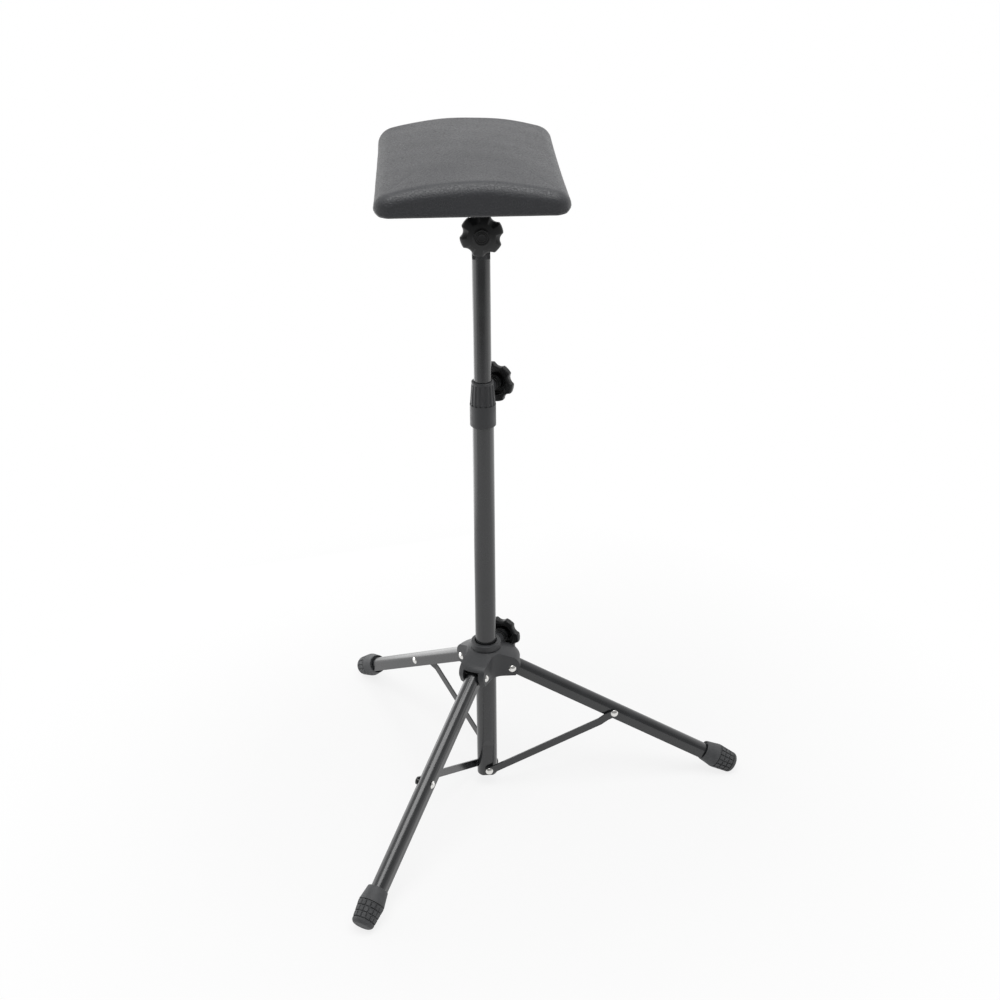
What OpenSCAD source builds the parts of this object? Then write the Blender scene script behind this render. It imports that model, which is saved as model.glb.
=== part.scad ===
// Height-adjustable arm rest stand: an upholstered pad on a telescopic pole with a folding tripod.
// The floor is z = 0 and the pole stands on the z axis. The pad lies along y and tilts about y.

/* [Pole] */
// Outside diameter of the lower pole
outer_d = 25.4; // [22:0.1:32]
// Wall of the lower pole
outer_wall = 1.5; // [1:0.1:2]
// Length of the lower pole
outer_len = 520; // [460:5:700]
// Height of the lower pole's end above the floor
outer_low = 16; // [12:1:24]
// Outside diameter of the upper pole
inner_d = 20.6; // [16:0.1:21]
// Wall of the upper pole
inner_wall = 1.2; // [1:0.1:2]
// Length of the upper pole
inner_len = 450; // [400:5:480]
// Height of the pad's tilt axis above the floor
tilt_z = 737.5; // [640:0.5:900]

/* [Tripod] */
// Turn of the first leg from the x axis
leg_turn = 1.2; // [-30:0.1:30]
// Slope of an open leg below the horizontal
leg_slope = 30.4; // [26:0.1:36]
// Distance from a leg's pivot to the rim of its foot
leg_reach = 289.6; // [260:0.1:360]
// Width of a leg
leg_w = 18; // [16:0.5:19]
// Depth of a leg's side walls below the middle of its arch
leg_skirt = 8.3; // [6:0.1:10]
// Thickness of the rolled sheet of a leg
leg_wall = 1.4; // [1:0.1:2]
// Distance along a leg from its pivot to its brace
brace_at = 151; // [130:1:180]
// Width of a brace
brace_w = 9.6; // [8:0.1:12]
// Thickness of a brace
brace_t = 2; // [1.5:0.1:2.5]

/* [Hub] */
// Distance of the leg pivots from the pole's axis
pivot_r = 31.8; // [31:0.1:36]
// Width of one clevis of the hub
lobe_w = 33.8; // [30:0.1:36]
// Outer radius of the clevises
lobe_r = 44.2; // [41:0.1:48]
// Diameter of the ring at the hub's top
ring_d = 37; // [34:0.5:42]
// Height of the ring
ring_h = 8; // [6:0.5:14]

/* [Clamp knobs] */
// Radius over the tips of a star knob
knob_r = 24.1; // [20:0.1:28]
// Number of tips of a star knob
knob_tips = 6; // [5:1:8]
// Thickness of a knob's star with its domed face
knob_t = 15; // [14:0.5:20]
// Diameter of the clamp screws and of the tilt bolt
screw_d = 8; // [6:0.5:8]

/* [Pad] */
// Width of the pad
pad_w = 200; // [170:1:230]
// Length of the pad
pad_len = 300; // [260:1:360]
// Height of the pad's underside above the tilt axis
pad_rise = 56.5; // [52:0.5:70]
// Shift of the pad from the head, across the pad
pad_shift = -12.5; // [-20:0.5:20]
// Height of the pad's upright side wall at its long sides
side_low = 10; // [9:0.5:14]
// Height of the pad's upright wall in the middle of its ends
side_high = 23; // [16:0.5:28]
// Radius of the pad's upper edge
pad_roll = 12; // [8:0.5:13]

/* [Hidden] */
$fn = 64;

// Overrun of a cut past the faces it goes through
over = 1;
// Radial clearance of what turns or slides
run = 0.05;
// Clearance between flat faces that turn on each other
face_gap = 0.1;

// Legs are spaced evenly, and the front leg is the third one
legs = 3;
leg_step = 360 / legs;
notch_turn = leg_step / 2;

// Rivets: shank, domed head and the clenched tail inside the pole
rivet_r = 2.4;
rivet_head_r = 4.75;
rivet_head_h = 2.2;
rivet_tail_r = 3.6;
rivet_tail_h = 1.4;

// Rubber foot, measured along the leg from the foot's rim
foot_len = 46;
foot_rim_r = 13.2;
foot_rim_h = 2.4;
foot_neck_r = 12.8;
foot_max_r = 15.75;
foot_max_at = 19;
foot_ramp = 2.6;
foot_round = 5;
foot_toe_r = 13.4;
foot_pocket = 38;
foot_flat = 0.5;
foot_groove_w = 1.5;
foot_groove_d = 1.1;
foot_rows = 3;
foot_row_step = 6;
foot_blocks = 22;
foot_toe_at = foot_len - foot_round;
foot_taper = atan2(foot_max_r - foot_toe_r, foot_toe_at - foot_max_at);

// The foot's rounded toe meets the floor, and that sets the height of the leg pivots
hub_z = (leg_reach + foot_toe_at) * sin(leg_slope) + (foot_toe_r - foot_round) * cos(leg_slope)
    + foot_round - foot_flat;
leg_len = leg_reach + foot_pocket;
leg_tail = leg_w / 2 + over;

// Lower end of the pole: three pressed flats, one for each brace
flat_press = 1.8;
flat_len = 46;
flat_ramp = 14;
flat_d = outer_d / 2 - flat_press;
brace_pin_up = 8.7;
brace_pin_out = 1.8;
pin_z = outer_low + brace_pin_up;

// Braces run beside the pole and step in to the leg at their upper ends
brace_clear = 0.3;
brace_in = outer_d / 2 + brace_clear;
leg_side_gap = 1;
leg_side = leg_w / 2;
joint_r = pivot_r + brace_at * cos(leg_slope);
joint_z = hub_z - brace_at * sin(leg_slope);
brace_len = sqrt(pow(joint_r - brace_pin_out, 2) + pow(joint_z - pin_z, 2));
brace_slope = atan2(joint_z - pin_z, joint_r - brace_pin_out);
step_near = 11;
step_far = 21;
split_gap = 0.4;
stub = 0.3;

// Hub: heights are measured from the leg pivots
hub_bore_clear = run;
ear_low = 9.5;
barrel_low = 13;
barrel_r = 18;
dome_r = 14;
dome_z = 4;
dome_lean = 24;
ear_in = 4.4;
groove_h = 1.5;
ring_round = 1.5;
ring_neck = 0.8;
ring_relief_r = 1.2;
ring_relief_h = 3;
slot_clear = 1.2;
slot_w = leg_w + 2 * slot_clear;
slot_r = 20.4;
slot_head = 0.8;
slot_roof = leg_tail + slot_head;
notch_fillet = 18;
hub_knob_up = 17;
hub_boss_r = 8;
hub_boss_end = 36;
dome_x = lobe_r - dome_r;
dome_edge = dome_x + dome_r * sin(dome_lean);
dome_edge_z = dome_z + dome_r * cos(dome_lean);
shoulder_z = dome_edge_z + (dome_edge - ring_d / 2) * tan(dome_lean);
ring_z = shoulder_z + groove_h;
hub_top = ring_z + ring_h;

// Height collar: heights are measured from the top of the lower pole
collar_seat = 33;
collar_guide = 23;
collar_band_r = 15.2;
collar_band_h = 27.5;
collar_chamfer = 1.5;
collar_cone_low_r = 14.9;
collar_rim_r = 13;
collar_rim_h = 3.4;
collar_lip_round = 1;
flutes = 16;
flute_r = 2.2;
flute_deep = 1.1;
height_knob_up = 10.2;
height_knob_turn = 62;
height_knob_spin = -16;
collar_boss_r = 7.5;
collar_boss_end = 21.6;
outer_top = outer_low + outer_len;
collar_low = outer_top - collar_seat;
collar_top = outer_top + collar_guide;
height_knob_z = outer_top + height_knob_up;

// Brass inserts of the clamp screws
insert_r = 5.5;
insert_len = 9;
insert_flange_r = 6.4;
insert_flange_h = 1.2;
screw_r = screw_d / 2;
screw_gap = 0.3;
screw_tip = 1;

// Star knob, measured along its axis from the back of its hub
knob_hub_r = 8;
knob_hub_h = 4.5;
knob_round = 2.2;
knob_rim_h = 7.5;
knob_scoop_r = 9;
knob_scoop_at = 29.5;
knob_hollow_in = 9.6;
knob_hollow_out = 16;
knob_hollow_d = 8;
knob_cap_r = 9;
knob_cap_sink = 2;
knob_cap_t = 2.6;
knob_stud_in = 15;
knob_gap = 0.5;
tilt_knob_spin = 20;
hub_knob_spin = 28;
cap_ring_w = 0.9;
cap_ring_d = 0.6;
cap_ring_step = 2.2;
cap_rings = 2;
knob_len = knob_hub_h + knob_t;
nut_r = 6;
nut_len = 9;
nut_at = 2;

// Head of the upper pole
head_rise = 32;
head_flange_h = 6;
head_spigot = 26;
tongue_w = 20;
tongue_t = 16;
inner_top = tilt_z - head_rise;
inner_low = inner_top - inner_len;
inner_bore_r = inner_d / 2 - inner_wall;
outer_bore_r = outer_d / 2 - outer_wall;

// Guide bush that carries the upper pole inside the lower one
guide_len = 24;
guide_spigot = 20;
guide_bore_r = 5;
guide_chamfer = 1.5;

// Tilt joint: bracket legs on both sides of the tongue
washer_t = 1;
washer_r = 9;
bracket_t = 2.5;
bracket_w = 22;
bracket_bend = 3;
steel_washer_t = 1.6;
steel_washer_r = 8.5;
bolt_head_r = 9;
bolt_head_h = 4;
bolt_square = 8;
bolt_past = 1.5;
leg_in = tongue_t / 2 + face_gap + washer_t;
leg_out = leg_in + bracket_t;
knob_back = leg_out + steel_washer_t + face_gap;

// Under the pad, measured down from its underside
cloth_t = 0.8;
plate_t = 2.5;
plate_w = 120;
plate_len = 90;
plate_corner = 8;
plate_hole_x = 96;
plate_hole_y = 66;
wood_screw_r = 2;
wood_screw_head_r = 4.2;
wood_screw_head_h = 2.2;
wood_screw_in = 9;
board_t = 12;
board_inset = 11;
cloth_lap = 4;
pad_under = tilt_z + pad_rise;
plate_low = pad_under - cloth_t - plate_t;
web_low = plate_low - bracket_t;

// Cushion: insets and heights of its rings, as steps round its rolled edges
pad_corner = 16;
pad_heel = 7;
pad_puff = 3;
pad_draw = 0.8;
corner_steps = 4;
end_steps = 8;
side_steps = 6;
heel_turns = [30, 60, 90];
roll_turns = [22, 45, 68, 90];
crown_shares = [0.86, 0.66, 0.44, 0.22];

module at_leg(k) {
    rotate([0, 0, leg_turn + leg_step * k]) children();
}

module along_leg(k) {
    at_leg(k) translate([pivot_r, 0, hub_z]) rotate([0, leg_slope, 0]) children();
}

module along_brace(k) {
    at_leg(k) translate([brace_pin_out, 0, pin_z]) rotate([0, -brace_slope, 0]) children();
}

// A rod along y from y0 to y1
module rod_y(r, y0, y1) {
    translate([0, y0, 0]) rotate([-90, 0, 0]) cylinder(r = r, h = y1 - y0);
}

// The domed head of a rivet, standing on the plane y = 0 and rising towards +y
module rivet_head() {
    ball = (pow(rivet_head_r, 2) + pow(rivet_head_h, 2)) / (2 * rivet_head_h);
    rotate([-90, 0, 0]) rotate_extrude() intersection() {
        translate([0, rivet_head_h - ball]) circle(r = ball);
        square([rivet_head_r, rivet_head_h]);
    }
}

// Places children on a horizontal axis that points away from the pole
module outward(turn, z) {
    rotate([0, 0, turn]) translate([0, 0, z]) rotate([0, 90, 0]) children();
}

// Lower pole

// What the three pressed flats take off a round bar, down to the distance d from the axis
module flat_cuts(d) {
    far = outer_d / 2 + over;
    for (k = [0 : legs - 1])
        at_leg(k) rotate([90, 0, -90]) linear_extrude(height = 2 * far, center = true) polygon([
            [d, outer_low - over], [far, outer_low - over],
            [far, outer_low + flat_len + flat_ramp], [d, outer_low + flat_len]]);
}

module outer_pole() {
    color("#3a3b3d") difference() {
        difference() {
            translate([0, 0, outer_low]) cylinder(d = outer_d, h = outer_len);
            flat_cuts(flat_d);
        }
        difference() {
            translate([0, 0, outer_low - over]) cylinder(r = outer_bore_r, h = outer_len + 2 * over);
            flat_cuts(flat_d - outer_wall);
        }
        for (k = [0 : legs - 1])
            at_leg(k) translate([brace_pin_out, 0, pin_z]) rod_y(rivet_r, -outer_d, 0);
    }
}

module brace_spacers() {
    color("#202124") for (k = [0 : legs - 1])
        at_leg(k) translate([brace_pin_out, 0, pin_z]) difference() {
            rod_y(rivet_head_r, -brace_in + face_gap, -flat_d);
            rod_y(rivet_r, -brace_in, 0);
        }
}

module pole_rivets() {
    head_y = brace_in + brace_t + face_gap;
    tail_y = flat_d - outer_wall;
    color("#d9dadc") for (k = [0 : legs - 1])
        at_leg(k) translate([brace_pin_out, 0, pin_z]) {
            rod_y(rivet_r, -head_y, -tail_y + rivet_tail_h);
            rod_y(rivet_tail_r, -tail_y, -tail_y + rivet_tail_h);
            translate([0, -head_y, 0]) rotate([0, 0, 180]) rivet_head();
        }
}

// Height collar

module collar_profile() {
    cone_low = collar_low + collar_band_h;
    cone_top = collar_top - collar_rim_h;
    polygon([
        [0, collar_low], [collar_band_r - collar_chamfer, collar_low],
        [collar_band_r, collar_low + collar_chamfer], [collar_band_r, cone_low],
        [collar_cone_low_r, cone_low], [collar_rim_r, cone_top],
        [collar_rim_r, collar_top - collar_lip_round],
        [collar_rim_r - collar_lip_round, collar_top], [0, collar_top]]);
}

module height_collar() {
    cone_low = collar_low + collar_band_h;
    cone_h = collar_top - collar_rim_h - cone_low;
    lean = atan2(collar_cone_low_r - collar_rim_r, cone_h);
    color("#2e2f31") difference() {
        union() {
            difference() {
                rotate_extrude() collar_profile();
                for (i = [0 : flutes - 1])
                    rotate([0, 0, 360 * (i + 1 / 2) / flutes])
                        translate([collar_cone_low_r + flute_r - flute_deep, 0, cone_low])
                            rotate([0, -lean, 0]) cylinder(r = flute_r, h = cone_h);
            }
            outward(height_knob_turn, height_knob_z)
                cylinder(r = collar_boss_r, h = collar_boss_end);
        }
        translate([0, 0, collar_low - over]) cylinder(d = outer_d, h = collar_seat + over);
        translate([0, 0, outer_top - over])
            cylinder(d = inner_d + 2 * run, h = collar_guide + 2 * over);
        outward(height_knob_turn, height_knob_z) insert_seat(collar_boss_end);
    }
}

// The hole for a clamp screw and its insert in a boss that ends at the distance boss_end
module insert_seat(boss_end) {
    cylinder(r = screw_r + screw_gap, h = boss_end + over);
    translate([0, 0, boss_end - insert_len]) cylinder(r = insert_r, h = insert_len + over);
}

module insert(boss_end) {
    difference() {
        union() {
            translate([0, 0, boss_end - insert_len]) cylinder(r = insert_r, h = insert_len);
            translate([0, 0, boss_end]) cylinder(r = insert_flange_r, h = insert_flange_h);
        }
        translate([0, 0, boss_end - insert_len - over])
            cylinder(r = screw_r + run, h = insert_len + insert_flange_h + 2 * over);
    }
}

module collar_insert() {
    color("#b9964a") outward(height_knob_turn, height_knob_z) insert(collar_boss_end);
}

// Upper pole, its guide bush and its head

module inner_pole() {
    color("#3a3b3d") difference() {
        translate([0, 0, inner_low]) cylinder(d = inner_d, h = inner_len);
        translate([0, 0, inner_low - over]) cylinder(r = inner_bore_r, h = inner_len + 2 * over);
    }
}

module pole_guide() {
    guide_r = outer_bore_r - run;
    color("#d8d6cc") difference() {
        union() {
            translate([0, 0, inner_low - guide_len]) rotate_extrude() polygon([
                [0, 0], [guide_r - guide_chamfer, 0], [guide_r, guide_chamfer],
                [guide_r, guide_len - face_gap], [0, guide_len - face_gap]]);
            translate([0, 0, inner_low - guide_chamfer])
                cylinder(r = inner_bore_r - run, h = guide_chamfer + guide_spigot);
        }
        translate([0, 0, inner_low - guide_len - over])
            cylinder(r = guide_bore_r, h = guide_len + guide_spigot + 2 * over);
    }
}

module pole_head() {
    color("#2a2b2d") difference() {
        union() {
            translate([0, 0, inner_top - head_spigot]) cylinder(r = inner_bore_r, h = head_spigot);
            translate([0, 0, inner_top]) cylinder(d = inner_d, h = head_flange_h);
            intersection() {
                translate([0, 0, tilt_z]) union() {
                    rod_y(tongue_w / 2, -tongue_t / 2, tongue_t / 2);
                    translate([-tongue_w / 2, -tongue_t / 2, -head_rise])
                        cube([tongue_w, tongue_t, head_rise]);
                }
                translate([0, 0, inner_top]) cylinder(d = inner_d + tongue_w, h = 2 * head_rise);
            }
        }
        translate([0, 0, tilt_z]) rod_y(screw_r + run, -inner_d, inner_d);
    }
}

// Pad, its bracket and the tilt joint

// Outline of one bracket leg, seen along y
module bracket_face() {
    circle(d = bracket_w);
    translate([-bracket_w / 2, 0]) square([bracket_w, web_low + bracket_t - tilt_z]);
}

module bracket_channel(out, top, bend) {
    low = -bracket_w;
    translate([-out, low]) square([2 * out, top - low - bend]);
    translate([-out + bend, low]) square([2 * (out - bend), top - low]);
    for (s = [-1, 1])
        translate([s * (out - bend), top - bend]) circle(r = bend);
}

module pad_bracket() {
    top = web_low + bracket_t - tilt_z;
    color("#2b2c2e") translate([0, 0, tilt_z]) difference() {
        intersection() {
            rotate([90, 0, 0]) linear_extrude(height = 2 * leg_out, center = true) bracket_face();
            rotate([90, 0, 90]) linear_extrude(height = 2 * bracket_w, center = true)
                bracket_channel(leg_out, top, bracket_bend);
        }
        rotate([90, 0, 90]) linear_extrude(height = 2 * bracket_w, center = true)
            translate([0, -over]) bracket_channel(leg_in, top - bracket_t + over, bracket_bend - bracket_t / 2);
        rod_y(screw_r, -leg_out - over, 0);
        translate([-bolt_square / 2, 0, -bolt_square / 2])
            cube([bolt_square, leg_out + over, bolt_square]);
    }
}

module tilt_bolt() {
    ball = (pow(bolt_head_r, 2) + pow(bolt_head_h, 2)) / (2 * bolt_head_h);
    color("#c9cacc") translate([0, 0, tilt_z]) {
        rod_y(screw_r, -knob_back - nut_at - nut_len - bolt_past, leg_in);
        translate([-bolt_square / 2, leg_in, -bolt_square / 2])
            cube([bolt_square, bracket_t, bolt_square]);
        translate([0, leg_out, 0]) rotate([-90, 0, 0]) rotate_extrude() intersection() {
            translate([0, bolt_head_h - ball]) circle(r = ball);
            square([bolt_head_r, bolt_head_h]);
        }
    }
}

module tilt_washers() {
    color("#e4e2da") translate([0, 0, tilt_z]) for (s = [0, 1])
        mirror([0, s, 0]) difference() {
            rod_y(washer_r, leg_in - washer_t, leg_in);
            rod_y(screw_r, 0, leg_out);
        }
}

module knob_washer() {
    color("#c9cacc") translate([0, 0, tilt_z]) difference() {
        rod_y(steel_washer_r, -leg_out - steel_washer_t, -leg_out);
        rod_y(screw_r, -knob_back, 0);
    }
}

// A flat plate with round corners, from z = 0 up
module round_plate(w, l, t, corner) {
    linear_extrude(height = t) {
        square([w, l - 2 * corner], center = true);
        square([w - 2 * corner, l], center = true);
        for (sx = [-1, 1])
            for (sy = [-1, 1])
                translate([sx * (w / 2 - corner), sy * (l / 2 - corner)]) circle(r = corner);
    }
}

module at_wood_screws() {
    for (sx = [-1, 1])
        for (sy = [-1, 1])
            translate([sx * plate_hole_x / 2, sy * plate_hole_y / 2, 0]) children();
}

module wood_screw_holes() {
    at_wood_screws() translate([0, 0, plate_low - over])
        cylinder(r = wood_screw_r, h = plate_t + cloth_t + wood_screw_in + over);
}

module pad_plate() {
    color("#2b2c2e") difference() {
        translate([0, 0, plate_low]) round_plate(plate_w, plate_len, plate_t, plate_corner);
        wood_screw_holes();
    }
}

module pad_screws() {
    color("#c9cacc") at_wood_screws() translate([0, 0, plate_low]) {
        cylinder(r = wood_screw_r, h = plate_t + cloth_t + wood_screw_in);
        translate([0, 0, -wood_screw_head_h]) rotate_extrude() intersection() {
            translate([0, wood_screw_head_h]) circle(r = wood_screw_head_r);
            square([wood_screw_head_r, wood_screw_head_h]);
        }
    }
}

module pad_undercloth() {
    w = pad_w - 2 * (board_inset - cloth_lap);
    l = pad_len - 2 * (board_inset - cloth_lap);
    color("#1d1e20") difference() {
        translate([pad_shift, 0, pad_under - cloth_t]) round_plate(w, l, cloth_t, pad_corner / 2);
        wood_screw_holes();
    }
}

module pad_board() {
    w = pad_w - 2 * board_inset;
    l = pad_len - 2 * board_inset;
    color("#c8a878") difference() {
        translate([pad_shift, 0, pad_under]) round_plate(w, l, board_t, pad_corner / 2);
        wood_screw_holes();
    }
}

// Points round the pad as [x, y, normal turn], from the +x side anticlockwise
function pad_edge() = [
    for (q = [0 : 3])
        let (
            sx = q == 0 || q == 3 ? 1 : -1,
            sy = q < 2 ? 1 : -1,
            cx = sx * (pad_w / 2 - pad_corner),
            cy = sy * (pad_len / 2 - pad_corner),
            steps = q == 0 || q == 2 ? end_steps : side_steps,
            nx = q == 0 || q == 1 ? -(pad_w / 2 - pad_corner) : pad_w / 2 - pad_corner,
            ny = q == 1 || q == 2 ? -(pad_len / 2 - pad_corner) : pad_len / 2 - pad_corner)
        each concat(
            [for (i = [0 : corner_steps])
                let (a = 90 * (q + i / corner_steps))
                [cx + pad_corner * cos(a), cy + pad_corner * sin(a), a]],
            [for (i = [1 : steps - 1])
                let (
                    a = 90 * (q + 1),
                    px = cx + (nx - cx) * i / steps,
                    py = cy + (ny - cy) * i / steps)
                [px + pad_corner * cos(a), py + pad_corner * sin(a), a]])];

// Height of the upright wall at the place x: the pad arches across its width
function wall_h(x) = side_low + (side_high - side_low) * (1 - pow(2 * x / pad_w, 2));

// One ring of the rolled edges: every edge point drawn in by d and lifted to its height
function pad_ring(edge, d, rise, on_wall) = [
    for (p = edge)
        let (x = p[0] - d * cos(p[2]), y = p[1] - d * sin(p[2]))
        [x, y, rise + (on_wall ? wall_h(x) : 0)]];

// One ring of the crown: the edge drawn towards the middle by a share
function crown_ring(edge, share) = [
    for (p = edge)
        let (
            x = share * (p[0] - pad_roll * cos(p[2])),
            y = share * (p[1] - pad_roll * sin(p[2])))
        [x, y, wall_h(x) + pad_roll + pad_puff * (1 - pow(share, 2))]];

module cushion_solid() {
    edge = pad_edge();
    n = len(edge);
    rings = concat(
        [pad_ring(edge, pad_heel, 0, false)],
        [for (a = heel_turns) pad_ring(edge, pad_heel * (1 - sin(a)), pad_heel * (1 - cos(a)), false)],
        [[for (p = edge)
            let (draw = pad_draw * (1 - pow(2 * p[0] / pad_w, 2)))
            [p[0] - draw * cos(p[2]), p[1] - draw * sin(p[2]), (pad_heel + wall_h(p[0])) / 2]]],
        [pad_ring(edge, 0, 0, true)],
        [for (a = roll_turns) pad_ring(edge, pad_roll * (1 - cos(a)), pad_roll * sin(a), true)],
        [for (s = crown_shares) crown_ring(edge, s)]);
    m = len(rings);
    points = concat([for (r = rings) each r], [[0, 0, 0], [0, 0, wall_h(0) + pad_roll + pad_puff]]);
    sides = [for (j = [0 : m - 2]) for (i = [0 : n - 1])
        let (a = j * n + i, b = j * n + (i + 1) % n)
        each [[a, a + n, b + n], [a, b + n, b]]];
    bottom = [for (i = [0 : n - 1]) [m * n, i, (i + 1) % n]];
    top = [for (i = [0 : n - 1]) [m * n + 1, (m - 1) * n + (i + 1) % n, (m - 1) * n + i]];
    polyhedron(points = points, faces = concat(sides, bottom, top));
}

module pad_cushion() {
    w = pad_w - 2 * board_inset;
    l = pad_len - 2 * board_inset;
    color("#3c3d40") translate([pad_shift, 0, pad_under]) difference() {
        cushion_solid();
        translate([0, 0, -over]) round_plate(w, l, board_t + over, pad_corner / 2);
    }
}

// Star knobs: the axis is z, and z = 0 is the back of the hub

module knob_profile() {
    low = knob_hub_h;
    rise = knob_t - knob_rim_h;
    ball = (pow(knob_r, 2) + pow(rise, 2)) / (2 * rise);
    intersection() {
        union() {
            translate([0, low]) square([knob_r - knob_round, knob_t]);
            translate([0, low + knob_round]) square([knob_r, knob_t]);
            translate([knob_r - knob_round, low + knob_round]) circle(r = knob_round);
        }
        translate([0, knob_len - ball]) circle(r = ball);
    }
    square([knob_hub_r, low]);
}

module star_knob() {
    difference() {
        rotate_extrude() knob_profile();
        for (i = [0 : knob_tips - 1])
            rotate([0, 0, 360 * (i + 1 / 2) / knob_tips]) translate([knob_scoop_at, 0, -over])
                cylinder(r = knob_scoop_r, h = knob_len + 2 * over);
        translate([0, 0, knob_hub_h - over]) difference() {
            cylinder(r = knob_hollow_out, h = knob_hollow_d + over);
            translate([0, 0, -over]) cylinder(r = knob_hollow_in, h = knob_hollow_d + 3 * over);
        }
        translate([0, 0, knob_len - knob_cap_sink]) cylinder(r = knob_cap_r, h = knob_cap_sink + over);
    }
}

module knob_cap() {
    difference() {
        translate([0, 0, knob_len - knob_cap_sink]) rotate_extrude() difference() {
            union() {
                square([knob_cap_r - cap_ring_w, knob_cap_t]);
                square([knob_cap_r, knob_cap_t - cap_ring_d]);
            }
            for (i = [1 : cap_rings])
                translate([knob_cap_r - cap_ring_w - cap_ring_step * i, knob_cap_t - cap_ring_d])
                    square([cap_ring_w, cap_ring_d + over]);
        }
    }
}

// A knob with its stud moulded in
module stud_knob() {
    difference() {
        star_knob();
        translate([0, 0, -over]) cylinder(r = screw_r, h = knob_stud_in + over);
    }
}

// The stud of a knob whose back is at the distance back from the pole, up to the distance tip
module stud(back, tip) {
    translate([0, 0, tip]) cylinder(r1 = screw_r - screw_tip, r2 = screw_r, h = screw_tip);
    translate([0, 0, tip + screw_tip]) cylinder(r = screw_r, h = back + knob_stud_in - tip - screw_tip);
}

module at_tilt_knob() {
    translate([0, -knob_back, tilt_z]) rotate([90, 0, 0]) rotate([0, 0, tilt_knob_spin]) children();
}

height_knob_back = collar_boss_end + insert_flange_h + knob_gap;
hub_knob_back = hub_boss_end + insert_flange_h + knob_gap;
hub_knob_z = hub_z + hub_knob_up;
hub_knob_turn = leg_turn + notch_turn;

module at_height_knob() {
    outward(height_knob_turn, height_knob_z) translate([0, 0, height_knob_back])
        rotate([0, 0, height_knob_spin]) children();
}

module at_hub_knob() {
    outward(hub_knob_turn, hub_knob_z) translate([0, 0, hub_knob_back])
        rotate([0, 0, hub_knob_spin]) children();
}

module tilt_knob() {
    color("#26272a") at_tilt_knob() difference() {
        star_knob();
        translate([0, 0, -over]) cylinder(r = screw_r + screw_gap, h = knob_stud_in + over);
        translate([0, 0, -over]) cylinder(r = nut_r, h = nut_at + nut_len + over);
    }
}

module tilt_knob_nut() {
    color("#b9964a") at_tilt_knob() difference() {
        cylinder(r = nut_r, h = nut_at + nut_len);
        translate([0, 0, -over]) cylinder(r = screw_r + run, h = nut_at + nut_len + 2 * over);
    }
}

module tilt_knob_cap() {
    color("#2b2c2f") at_tilt_knob() knob_cap();
}

module height_knob() {
    color("#26272a") at_height_knob() stud_knob();
}

module height_knob_cap() {
    color("#2b2c2f") at_height_knob() knob_cap();
}

module height_screw() {
    color("#c9cacc") outward(height_knob_turn, height_knob_z)
        stud(height_knob_back, inner_d / 2 + screw_gap);
}

module hub_knob() {
    color("#26272a") at_hub_knob() stud_knob();
}

module hub_knob_cap() {
    color("#2b2c2f") at_hub_knob() knob_cap();
}

module hub_screw() {
    color("#c9cacc") outward(hub_knob_turn, hub_knob_z)
        stud(hub_knob_back, outer_d / 2 + screw_gap);
}

// Hub

// Plan of the three clevises with hollow corners between them
module hub_plan() {
    reach = (lobe_w / 2 + notch_fillet) / sin(notch_turn);
    tx = reach * cos(notch_turn);
    ty = lobe_w / 2;
    kx = tx * cos(notch_turn) + ty * sin(notch_turn);
    ky = ty * cos(notch_turn) - tx * sin(notch_turn);
    difference() {
        union() {
            for (k = [0 : legs - 1])
                rotate(leg_step * k) translate([0, -lobe_w / 2]) square([lobe_r + over, lobe_w]);
            for (k = [0 : legs - 1])
                rotate(notch_turn + leg_step * k)
                    polygon([[0, 0], [kx, ky], [reach, 0], [kx, -ky]]);
        }
        for (k = [0 : legs - 1])
            rotate(notch_turn + leg_step * k) translate([reach, 0]) circle(r = notch_fillet);
    }
}

// Half section of the hub's dome, from the leg pivots
module dome_profile() {
    polygon([
        [0, -ear_low], [lobe_r - ear_in, -ear_low],
        [dome_x + dome_r * cos(30), dome_z - dome_r * sin(30)], [dome_x, dome_z], [0, dome_z]]);
    translate([dome_x, dome_z]) circle(r = dome_r);
    polygon([
        [0, dome_z], [dome_x, dome_z], [dome_edge, dome_edge_z],
        [ring_d / 2, shoulder_z], [0, shoulder_z]]);
}

module ring_profile() {
    r = ring_d / 2;
    square([r - ring_neck, ring_z]);
    translate([0, ring_z]) square([r, ring_h - ring_round]);
    square([r - ring_round, hub_top]);
    translate([r - ring_round, hub_top - ring_round]) circle(r = ring_round);
}

module slot_plan() {
    for (k = [0 : legs - 1])
        rotate(leg_step * k) translate([slot_r, -slot_w / 2]) square([lobe_r, slot_w]);
}

module hub_casting() {
    color("#37383a") difference() {
        translate([0, 0, hub_z]) union() {
            intersection() {
                rotate_extrude() dome_profile();
                rotate([0, 0, leg_turn]) union() {
                    translate([0, 0, -ear_low])
                        linear_extrude(height = ear_low + slot_roof) difference() {
                            hub_plan();
                            slot_plan();
                        }
                    translate([0, 0, slot_roof])
                        linear_extrude(height = shoulder_z - slot_roof) hub_plan();
                }
            }
            translate([0, 0, -barrel_low]) cylinder(r = barrel_r, h = barrel_low + dome_z);
            rotate_extrude() ring_profile();
            outward(hub_knob_turn, hub_knob_up) cylinder(r = hub_boss_r, h = hub_boss_end);
        }
        for (k = [0 : legs - 1])
            at_leg(k) translate([pivot_r, 0, hub_z]) rod_y(rivet_r, -lobe_w, lobe_w);
        translate([0, 0, hub_z - barrel_low - over])
            cylinder(r = outer_d / 2 + hub_bore_clear, h = barrel_low + hub_top + 2 * over);
        translate([0, 0, hub_z + hub_top - ring_relief_h])
            cylinder(r = outer_d / 2 + ring_relief_r, h = ring_relief_h + over);
        outward(hub_knob_turn, hub_knob_z) insert_seat(hub_boss_end);
    }
}

module hub_insert() {
    color("#b9964a") outward(hub_knob_turn, hub_knob_z) insert(hub_boss_end);
}

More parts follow.
